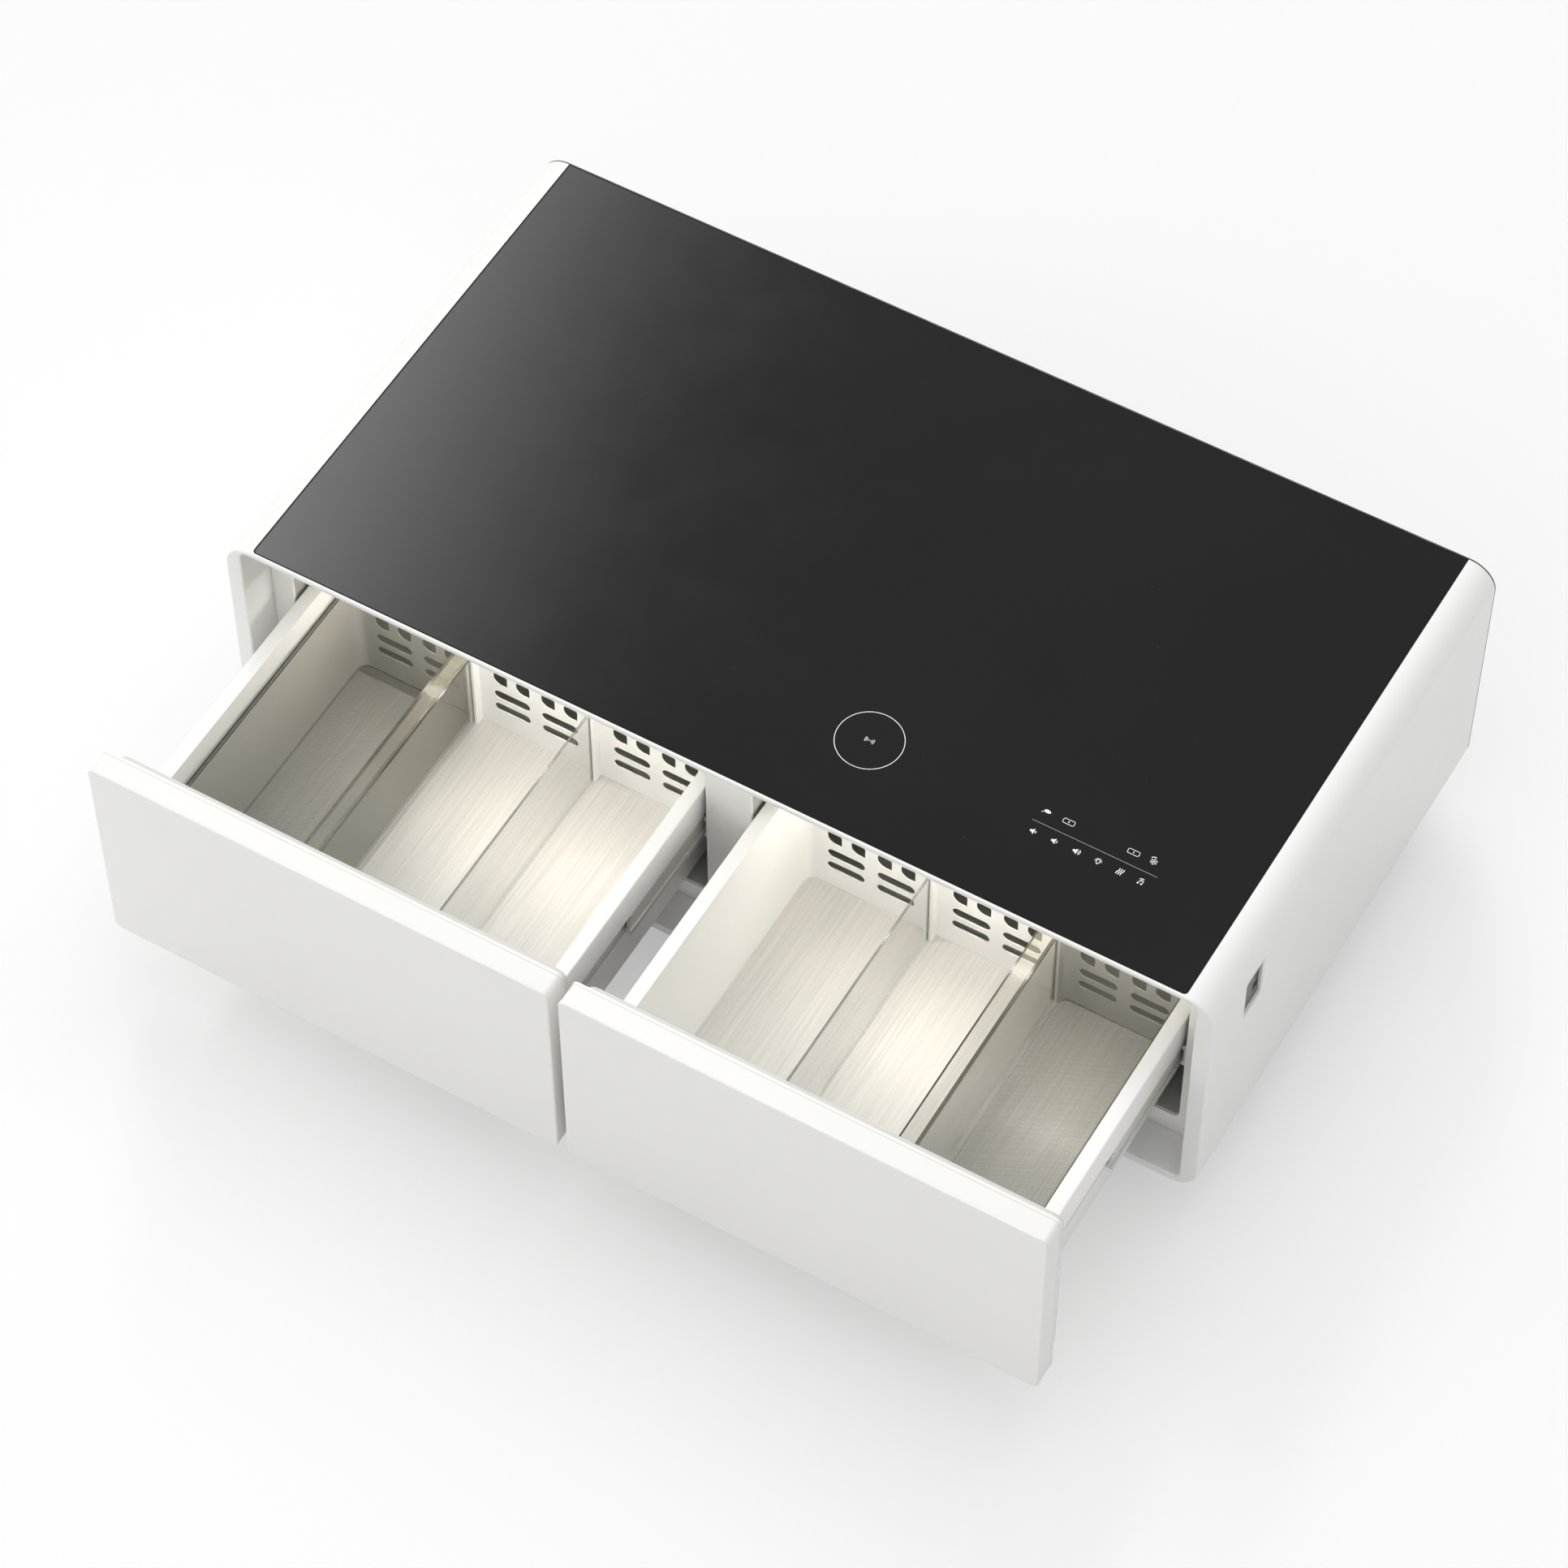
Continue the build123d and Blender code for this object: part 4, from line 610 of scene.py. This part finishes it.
def tinted_glass(name):
    """Dark glass: ink seen through a polished face, with faint smears and specks."""
    made, tree, shader = start_material(name)
    place = object_place(tree)
    base = opaque(colours().glass)
    cloud = spread(tree, noise(tree, place, scale=1.6), 0.35, 0.7, 0.0, 1.0)
    ink = blend_colours(tree, cloud, base, opaque(scaled(base, 1.35)))
    specks = add_node(tree, "ShaderNodeTexVoronoi", Scale=85.0, Randomness=1.0)
    join(tree, place, specks.inputs["Vector"])
    dot = spread(tree, specks.outputs["Distance"], 0.055, 0.02, 0.0, 1.0)
    rare = spread(tree, noise(tree, place, scale=30.0), 0.62, 0.66, 0.0, 0.35)
    speck_colour = (0.22, 0.22, 0.22, 1)
    tone = blend_colours(tree, combine(tree, "MULTIPLY", dot, rare), ink, speck_colour)
    join(tree, tone, shader.inputs["Base Color"])
    smears = noise(tree, place, scale=5.0, detail=6.0, roughness=0.7)
    join(tree, spread(tree, smears, 0.35, 0.75, 0.08, 0.13), shader.inputs["Roughness"])
    shader.inputs["IOR"].default_value = 1.45
    shader.inputs["Specular IOR Level"].default_value = 0.25
    return made


def painted_shade_port_plastic(name):
    """White recess with painted shade on its back wall and a painted highlight along its edges."""
    # Lighter edges: a painted highlight round the mouth of the recess
    made = surface(name, colours().fronts, gloss=0.36, edge=(0.96, 0.96, 0.95), width=0.001, rub=0.6)
    tree = made.node_tree
    shader = tree.nodes["Principled BSDF"]
    white = shader.inputs["Base Color"].links[0].from_socket
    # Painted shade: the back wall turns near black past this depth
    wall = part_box("side_port_cup")[1].x - PORT_SHADE_DEPTH
    back = spread(tree, split(tree, object_place(tree))["X"], wall, wall - PORT_SHADE_FADE, 0.0, 1.0)
    join(tree, blend_colours(tree, back, white, (0.10, 0.10, 0.095, 1)), shader.inputs["Base Color"])
    return made


SPECIAL_FINISHES = {
    "Clear bin": clear_bin,
    "Clear divider": clear_divider,
    "Frosted diffuser": lit_diffuser,
    "Dark glass": tinted_glass,
    "Port plastic": painted_shade_port_plastic,
}


def finish(name):
    """The material of this name, made at its first use."""
    if name in MATERIALS:
        return MATERIALS[name]
    if name in SPECIAL_FINISHES:
        return SPECIAL_FINISHES[name](name)
    settings = dict(FINISHES[name])
    if isinstance(settings["base"], str):
        settings["base"] = getattr(colours(), settings["base"])
    return surface(name, **settings)


# Geometry helpers
def soft_shading():
    """Geometry nodes that close the seams of a CAD mesh and shade its curves smooth."""
    name = "Soft shading"
    if name in bpy.data.node_groups:
        return bpy.data.node_groups[name]
    tree = bpy.data.node_groups.new(name, "GeometryNodeTree")
    tree.interface.new_socket("Geometry", in_out="INPUT", socket_type="NodeSocketGeometry")
    tree.interface.new_socket("Geometry", in_out="OUTPUT", socket_type="NodeSocketGeometry")
    start, end = tree.nodes.new("NodeGroupInput"), tree.nodes.new("NodeGroupOutput")
    merge = add_node(tree, "GeometryNodeMergeByDistance", Distance=SEAM_GAP)
    faces = tree.nodes.new("GeometryNodeSetShadeSmooth")
    edges = add_node(tree, "GeometryNodeSetShadeSmooth", {"domain": "EDGE"})
    edges.inputs["Shade Smooth"].default_value = False
    angle = tree.nodes.new("GeometryNodeInputMeshEdgeAngle")
    sharp = add_node(tree, "FunctionNodeCompare", {"data_type": "FLOAT", "operation": "GREATER_THAN"})
    sharp.inputs[1].default_value = SMOOTH_TURN
    join(tree, start.outputs[0], merge.inputs["Geometry"])
    join(tree, merge.outputs[0], faces.inputs["Geometry"])
    join(tree, faces.outputs[0], edges.inputs["Geometry"])
    join(tree, angle.outputs["Unsigned Angle"], sharp.inputs[0])
    join(tree, sharp.outputs[0], edges.inputs["Selection"])
    join(tree, edges.outputs[0], end.inputs[0])
    return tree


def dress(name, finish_name, round_off=0.0):
    """Give a CAD node its finish, smooth shading and softly broken edges."""
    piece = nodes[name]
    piece.data.materials.clear()
    piece.data.materials.append(finish(finish_name))
    shading = piece.modifiers.new("Soft shading", "NODES")
    shading.node_group = soft_shading()
    if round_off:
        broken = piece.modifiers.new("Broken edges", "BEVEL")
        broken.width = round_off
        broken.segments = 2
        broken.limit_method = "ANGLE"
        broken.angle_limit = BROKEN_TURN
        broken.harden_normals = True


def new_piece(name, mesh, material, body):
    """An object from a mesh under construction, riding on a body."""
    data = bpy.data.meshes.new(name)
    mesh.to_mesh(data)
    mesh.free()
    data.materials.append(material)
    piece = bpy.data.objects.new(name, data)
    bpy.context.scene.collection.objects.link(piece)
    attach(piece, body)


def ink_shape(mesh, outline):
    """A closed flat shape of ink on the glass, with its thickness."""
    low = [mesh.verts.new((x, y, glass_level)) for x, y in outline]
    high = [mesh.verts.new((x, y, glass_level + sizes().ink)) for x, y in outline]
    mesh.faces.new(high)
    for index in range(len(outline)):
        after = (index + 1) % len(outline)
        mesh.faces.new((low[index], low[after], high[after], high[index]))


def ink_line(mesh, points, width, closed=False):
    """A line of ink along points on the glass, as joined quads."""
    count = len(points)
    rails = []
    for index, point in enumerate(points):
        before = points[index - 1] if index or closed else point
        after = points[(index + 1) % count] if index < count - 1 or closed else point
        along = Vector((after[0] - before[0], after[1] - before[1])).normalized()
        x, y = Vector((-along.y, along.x)) * width / 2
        rails.append(((point[0] + x, point[1] + y), (point[0] - x, point[1] - y)))
    top = [[mesh.verts.new((x, y, glass_level + sizes().ink)) for x, y in pair] for pair in rails]
    low = [[mesh.verts.new((x, y, glass_level)) for x, y in pair] for pair in rails]
    for index in range(count if closed else count - 1):
        after = (index + 1) % count
        mesh.faces.new((top[index][1], top[after][1], top[after][0], top[index][0]))
        mesh.faces.new((top[index][0], top[after][0], low[after][0], low[index][0]))
        mesh.faces.new((low[index][1], low[after][1], top[after][1], top[index][1]))


def arc_points(x, y, radius, start, end, count=10):
    """Points on an arc, angles in degrees."""
    turns = [math.radians(start + (end - start) * step / count) for step in range(count + 1)]
    return [(x + radius * math.cos(turn), y + radius * math.sin(turn)) for turn in turns]


# Printed marks, all in shares of the mark's size and round its middle
class Pen:
    """Draws one mark on the glass."""

    def __init__(self, mesh, middle, size):
        self.mesh, self.middle, self.size = mesh, middle, size

    def placed(self, points):
        """The points of a mark where they lie on the glass."""
        x, y = self.middle
        return [(x + self.size * across, y + self.size * up) for across, up in points]

    def fill(self, outline):
        """A filled outline."""
        ink_shape(self.mesh, self.placed(outline))

    def draw(self, points, width, closed=False):
        """A line along points."""
        ink_line(self.mesh, self.placed(points), self.size * width, closed)


def speaker_mark(pen, waves):
    """A loudspeaker with its sound waves, or crossed out."""
    left = -0.18 * waves
    lower = ((-0.42, -0.16), (-0.18, -0.16), (0.16, -0.46))
    upper = [(across, -up) for across, up in reversed(lower)]
    pen.fill([(left + across, up) for across, up in (*lower, *upper)])
    for wave in range(waves):
        pen.draw(arc_points(left + 0.12, 0, 0.28 + 0.2 * wave, -50, 50), 0.1)
    if not waves:
        for lean in (-1, 1):
            pen.draw([(0.24, -0.16 * lean), (0.48, 0.16 * lean)], 0.09)


def lamp_mark(pen):
    """A bulb with rays."""
    pen.draw(arc_points(0, 0.05, 0.27, -60, 240, 18), 0.13)
    pen.draw([(-0.15, -0.34), (0.15, -0.34)], 0.16)
    for ray in range(7):
        turn = math.radians(ray * 30)
        x, y = math.cos(turn), math.sin(turn)
        pen.draw([(reach * x, 0.05 + reach * y) for reach in (0.40, 0.54)], 0.07)


def bars_mark(pen):
    """Three slanted wavy bars."""
    for bar in (-1, 0, 1):
        rises = [step / 8 - 0.5 for step in range(9)]
        pen.draw([(0.30 * bar + 0.28 * rise + 0.05 * math.sin(rise * 9), rise) for rise in rises], 0.13)


def note_mark(pen):
    """Two joined notes under an arc."""
    for side in (-1, 1):
        stem = 0.24 * side
        pen.fill(arc_points(stem - 0.08, -0.36, 0.13, 0, 345, 14))
        pen.draw([(stem, -0.36), (stem, 0.16)], 0.09)
    pen.draw([(-0.28, 0.12), (0.28, 0.16)], 0.16)
    pen.draw(arc_points(0, 0, 0.46, 66, 142), 0.12)


def snow_mark(pen):
    """A snowflake under an arc."""
    pen.draw(arc_points(0, 0, 0.72, 84, 140), 0.12)
    for arm in range(6):
        turn = math.radians(60 * arm + 30)
        tip = Vector((math.cos(turn), math.sin(turn))) * 0.5
        pen.draw([(0, 0), tip], 0.09)
        for side in (-1, 1):
            bend = turn + side * math.radians(48)
            root = tip * 0.58
            pen.draw([root, root + Vector((math.cos(bend), math.sin(bend))) * 0.19], 0.08)


def leaf_mark(pen):
    """A leaf with its stalk."""
    pen.fill(arc_points(0.02, -0.42, 0.78, 42, 118) + arc_points(0.10, 0.62, 0.78, 232, 298))
    pen.draw([(-0.62, -0.30), (-0.30, 0)], 0.09)


def framed_mark(pen):
    """A long frame with notched corners round a short bar."""
    half, rise, notch = 0.80, 0.36, 0.09
    corners = []
    for across, up in ((1, 1), (-1, 1), (-1, -1), (1, -1)):
        outer = (across * half, up * (rise - notch))
        inner = (across * (half - notch), up * (rise - notch))
        upper = (across * (half - notch), up * rise)
        corners += (outer, inner, upper) if across * up > 0 else (upper, inner, outer)
    pen.draw(corners, 0.085, closed=True)
    pen.draw([(0, 0.14), (0, -0.14)], 0.14)


def wireless_mark(pen):
    """Charging waves on both sides of a dot."""
    pen.fill(arc_points(0, 0, 0.06, 0, 345, 16))
    for side in (0, 180):
        for wave in range(3):
            pen.draw(arc_points(0, 0, 0.20 + 0.13 * wave, side - 36, side + 36), 0.05)


# Each mark of the two rows, with its place along the glass, its row and the waves of a loudspeaker
CONTROL_MARKS = (
    (leaf_mark, 0.3625, UPPER_ROW),
    (framed_mark, 0.3907, UPPER_ROW),
    (framed_mark, 0.4728, UPPER_ROW),
    (snow_mark, 0.4980, UPPER_ROW),
    (speaker_mark, 0.3617, LOWER_ROW, 0),
    (speaker_mark, 0.3902, LOWER_ROW, 1),
    (speaker_mark, 0.4193, LOWER_ROW, 2),
    (lamp_mark, 0.4442, LOWER_ROW),
    (bars_mark, 0.4720, LOWER_ROW),
    (note_mark, 0.4987, LOWER_ROW),
)


class TABLE_OT_cabinet(bpy.types.Operator):
    """Finish the shell, the front frame, the seal and the plinth"""

    bl_idname = "table.cabinet"
    bl_label = "Cabinet"

    def execute(self, context):
        dress("cabinet_shell", "White powder coat")
        dress("front_frame", "Frame plastic", MOULDED_EDGE)
        dress("glass_seal", "Black seal")
        dress("plinth", "Dark steel", PRESSED_EDGE)
        return {"FINISHED"}


class TABLE_OT_glass_top(bpy.types.Operator):
    """Finish the glass top"""

    bl_idname = "table.glass_top"
    bl_label = "Glass top"

    def execute(self, context):
        dress("glass_top", "Dark glass")
        return {"FINISHED"}


class TABLE_OT_glass_marks(bpy.types.Operator):
    """Print the charging ring and the touch controls on the glass"""

    bl_idname = "table.glass_marks"
    bl_label = "Glass marks"

    def execute(self, context):
        print_sizes = sizes()
        ring = bmesh.new()
        around = arc_points(*RING_CENTRE, print_sizes.ring / 2, 0, 360, RING_STEPS)[:-1]
        ink_line(ring, around, print_sizes.line, closed=True)
        wireless_mark(Pen(ring, RING_CENTRE, WIRELESS_SIZE))
        new_piece("charging_ring_print", ring, finish("White ink"), "cabinet")
        marks = bmesh.new()
        for mark, x, row, *waves in CONTROL_MARKS:
            mark(Pen(marks, (x, row), print_sizes.mark), *waves)
        new_piece("control_marks_print", marks, finish("White ink"), "cabinet")
        slider = bmesh.new()
        ink_line(slider, SLIDER_ENDS, print_sizes.slider)
        new_piece("slider_line_print", slider, finish("Grey ink"), "cabinet")
        return {"FINISHED"}


class TABLE_OT_drawer_fronts(bpy.types.Operator):
    """Finish the layers of both drawer fronts and their gaskets"""

    bl_idname = "table.drawer_fronts"
    bl_label = "Drawer fronts"

    def execute(self, context):
        for side in SIDES:
            dress(f"{side}_front_fascia", "White front")
            dress(f"{side}_front_core", "Front core", SHEET_EDGE)
            dress(f"{side}_front_back_plate", "Front back plate", PLATE_EDGE)
            dress(f"{side}_gasket", "Soft gasket", SOFT_EDGE)
        return {"FINISHED"}


class TABLE_OT_tubs(bpy.types.Operator):
    """Finish the drawer tubs and the sheets on their floors"""

    bl_idname = "table.tubs"
    bl_label = "Tubs"

    def execute(self, context):
        for side in SIDES:
            dress(f"{side}_drawer_tub", "White tub", MOULDED_EDGE)
            dress(f"{side}_floor_sheet", "Brushed tub floor")
        return {"FINISHED"}


class TABLE_OT_bins(bpy.types.Operator):
    """Finish the clear bins and dividers"""

    bl_idname = "table.bins"
    bl_label = "Bins and dividers"

    def execute(self, context):
        for side in SIDES:
            dress(f"{side}_fruit_bin", "Clear bin", MOULDED_EDGE)
            dress(f"{side}_dividers", "Clear divider", SHEET_EDGE)
        return {"FINISHED"}


class TABLE_OT_slides(bpy.types.Operator):
    """Finish the telescopic slides"""

    bl_idname = "table.slides"
    bl_label = "Slides"

    def execute(self, context):
        for side in SIDES:
            for member in ("drawer", "middle", "cabinet"):
                dress(f"{side}_{member}_rails", "Zinc plated slide", SHEET_EDGE)
        return {"FINISHED"}


class TABLE_OT_cold_compartments(bpy.types.Operator):
    """Finish the liners, the foam and what stands behind the drawers"""

    bl_idname = "table.cold_compartments"
    bl_label = "Cold compartments"

    def execute(self, context):
        for side in SIDES:
            dress(f"{side}_cavity_liner", "Liner plastic")
            dress(f"{side}_fan_rotor", "Fan plastic")
        dress("duct_covers", "Duct plastic")
        dress("evaporators", "Mill aluminium")
        dress("cold_fan_motors", "Fan plastic", FINE_EDGE)
        dress("light_strips", "Frosted diffuser")
        for board in ("foam_top", "foam_base", "foam_uprights", "foam_rear"):
            dress(board, "Injected foam")
        return {"FINISHED"}


class TABLE_OT_cooling_unit(bpy.types.Operator):
    """Finish the compressor, the condenser, what stands with them and the electrics"""

    bl_idname = "table.cooling_unit"
    bl_label = "Cooling unit"

    def execute(self, context):
        dress("compressor", "Compressor enamel")
        dress("condenser", "Compressor enamel")
        dress("compressor_mount_plate", "Galvanised steel", SHEET_EDGE)
        dress("compressor_grommets", "Black rubber")
        dress("refrigerant_pipes", "Drawn copper")
        dress("drip_tray", "Grey housing", PRESSED_EDGE)
        dress("power_box", "Grey housing", PRESSED_EDGE)
        dress("condenser_fan_shroud", "Fan plastic", SHEET_EDGE)
        dress("condenser_fan_rotor", "Fan plastic")
        dress("speakers", "Black rubber", FINE_EDGE)
        dress("charging_coil", "Drawn copper")
        dress("touch_board", "Solder mask")
        return {"FINISHED"}


class TABLE_OT_rear_panel(bpy.types.Operator):
    """Finish the rear panel, its screws and the mains inlet"""

    bl_idname = "table.rear_panel"
    bl_label = "Rear panel"

    def execute(self, context):
        dress("rear_panel", "Dark steel")
        dress("rear_panel_screws", "Blackened steel")
        dress("mains_inlet", "Black socket", FINE_EDGE)
        dress("inlet_pins", "Plated contact", FINE_EDGE)
        return {"FINISHED"}


class TABLE_OT_side_port(bpy.types.Operator):
    """Finish the recess with sockets in the right side"""

    bl_idname = "table.side_port"
    bl_label = "Side port"

    def execute(self, context):
        dress("side_port_cup", "Port plastic", FINE_EDGE)
        dress("usb_ports", "Black socket")
        dress("audio_socket", "Black socket")
        return {"FINISHED"}


class TABLE_OT_feet(bpy.types.Operator):
    """Finish the levelling feet"""

    bl_idname = "table.feet"
    bl_label = "Feet"

    def execute(self, context):
        dress("foot_stems", "Galvanised steel", FINE_EDGE)
        dress("foot_pads", "Black rubber", MOULDED_EDGE)
        return {"FINISHED"}


def area_lamp(name, place, aim, size, power, seen):
    """A soft rectangular lamp that faces a point."""
    data = bpy.data.lights.new(name, "AREA")
    data.shape = "RECTANGLE"
    data.size, data.size_y = size
    data.energy = power
    lamp = bpy.data.objects.new(name, data)
    lamp.location = place
    lamp.rotation_mode = "QUATERNION"
    lamp.rotation_quaternion = (Vector(aim) - Vector(place)).to_track_quat("-Z", "Y")
    lamp.visible_camera = seen
    bpy.context.scene.collection.objects.link(lamp)


def studio_sky(studio):
    """Even sky, dimmer low on the right, with a bright patch that the glass mirrors."""
    world = bpy.data.worlds.new("Studio sky")
    world.use_nodes = True
    tree = world.node_tree
    sky = tree.nodes["Background"]
    sky.inputs["Color"].default_value = (1, 1, 1, 1)
    way = split(tree, add_node(tree, "ShaderNodeTexCoord").outputs["Generated"])
    patch = combine(tree, "POWER", spread(tree, way["X"], -0.325, -0.40, 0.0, 1.0), 2.3)
    # Where the patch fades out: axis, where it starts and is full, and its strength there
    fades = (
        ("X", -0.50, -0.45, 1.0),
        ("Y", 0.25, 0.42, 1.0),
        ("Y", 0.78, 0.66, 1.0),
        ("Z", 0.45, 0.60, studio.glow),
    )
    for axis, starts, full, highest in fades:
        patch = combine(tree, "MULTIPLY", patch, spread(tree, way[axis], starts, full, 0.0, highest))
    low_down = spread(tree, way["Z"], 0.75, 0.35, 0.0, 1.0)
    dimmed = combine(tree, "MULTIPLY", low_down, spread(tree, way["X"], -0.5, 0.3, 0.0, 0.5))
    even = combine(tree, "MULTIPLY_ADD", dimmed, -studio.sky, studio.sky)
    join(tree, combine(tree, "ADD", patch, even), sky.inputs["Strength"])
    return world


def studio_floor(studio):
    """A wide plain floor, with a share of plain white where the camera sees it."""
    mesh = bmesh.new()
    bmesh.ops.create_grid(mesh, x_segments=FLOOR_CELLS, y_segments=FLOOR_CELLS, size=FLOOR_REACH)
    data = bpy.data.meshes.new("studio_floor")
    mesh.to_mesh(data)
    mesh.free()
    made, tree, shader = start_material("Studio floor")
    shader.inputs["Roughness"].default_value = 0.9
    shader.inputs["Specular IOR Level"].default_value = 0.0
    shader.inputs["Base Color"].default_value = opaque(studio.floor)
    white = add_node(tree, "ShaderNodeEmission", Strength=1.0)
    camera_ray = add_node(tree, "ShaderNodeLightPath").outputs["Is Camera Ray"]
    both = tree.nodes.new("ShaderNodeMixShader")
    join(tree, combine(tree, "MULTIPLY", camera_ray, studio.haze), both.inputs[0])
    join(tree, shader.outputs[0], both.inputs[1])
    join(tree, white.outputs[0], both.inputs[2])
    join(tree, both.outputs[0], tree.nodes["Material Output"].inputs["Surface"])
    data.materials.append(made)
    floor = bpy.data.objects.new("studio_floor", data)
    bpy.context.scene.collection.objects.link(floor)


def studio_camera(studio):
    """The camera where the photograph was taken from."""
    data = bpy.data.cameras.new("Camera")
    data.sensor_width = SENSOR_WIDTH
    data.lens = studio.lens
    data.clip_end = VIEW_END
    camera = bpy.data.objects.new("Camera", data)
    bpy.context.scene.collection.objects.link(camera)
    turn = Matrix((CAMERA_RIGHT, -CAMERA_DOWN, -CAMERA_AHEAD)).transposed()
    camera.matrix_world = Matrix.Translation(CAMERA_PLACE) @ turn.to_4x4()
    bpy.context.scene.camera = camera


class TABLE_OT_studio(bpy.types.Operator):
    """Set the floor, the lamps, the sky and the camera"""

    bl_idname = "table.studio"
    bl_label = "Studio"

    def execute(self, context):
        studio = context.scene.table_studio
        studio_floor(studio)
        for name, place, aim, size, setting, seen in LAMPS:
            area_lamp(name, place, aim, size, getattr(studio, setting), seen)
        context.scene.world = studio_sky(studio)
        context.scene.view_settings.view_transform = "Standard"
        studio_camera(studio)
        return {"FINISHED"}


OPERATORS = (
    TABLE_OT_cabinet,
    TABLE_OT_glass_top,
    TABLE_OT_glass_marks,
    TABLE_OT_drawer_fronts,
    TABLE_OT_tubs,
    TABLE_OT_bins,
    TABLE_OT_slides,
    TABLE_OT_cold_compartments,
    TABLE_OT_cooling_unit,
    TABLE_OT_rear_panel,
    TABLE_OT_side_port,
    TABLE_OT_feet,
    TABLE_OT_studio,
)


class TABLE_PT_sidebar(bpy.types.Panel):
    """Sidebar tab of the table"""

    bl_label = "Refrigerator Coffee Table"
    bl_idname = "TABLE_PT_sidebar"
    bl_space_type = "VIEW_3D"
    bl_region_type = "UI"
    bl_category = "Table"

    def draw(self, context):
        for name, _ in SETTINGS:
            settings = getattr(context.scene, name)
            box = self.layout.box()
            for setting in settings.__annotations__:
                box.prop(settings, setting)
        for operator in OPERATORS:
            self.layout.operator(operator.bl_idname)


SETTINGS = (
    ("table_colours", TableColours),
    ("table_prints", PrintSizes),
    ("table_studio", StudioSettings),
)


def register():
    for name, group in SETTINGS:
        bpy.utils.register_class(group)
        setattr(bpy.types.Scene, name, PointerProperty(type=group))
    for operator in OPERATORS:
        bpy.utils.register_class(operator)
    bpy.utils.register_class(TABLE_PT_sidebar)


def unregister():
    bpy.utils.unregister_class(TABLE_PT_sidebar)
    for operator in reversed(OPERATORS):
        bpy.utils.unregister_class(operator)
    for name, group in reversed(SETTINGS):
        delattr(bpy.types.Scene, name)
        bpy.utils.unregister_class(group)


def main():
    """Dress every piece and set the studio."""
    register()
    for operator in OPERATORS:
        group, name = operator.bl_idname.split(".")
        getattr(getattr(bpy.ops, group), name)()


if __name__ == "__main__":
    main()
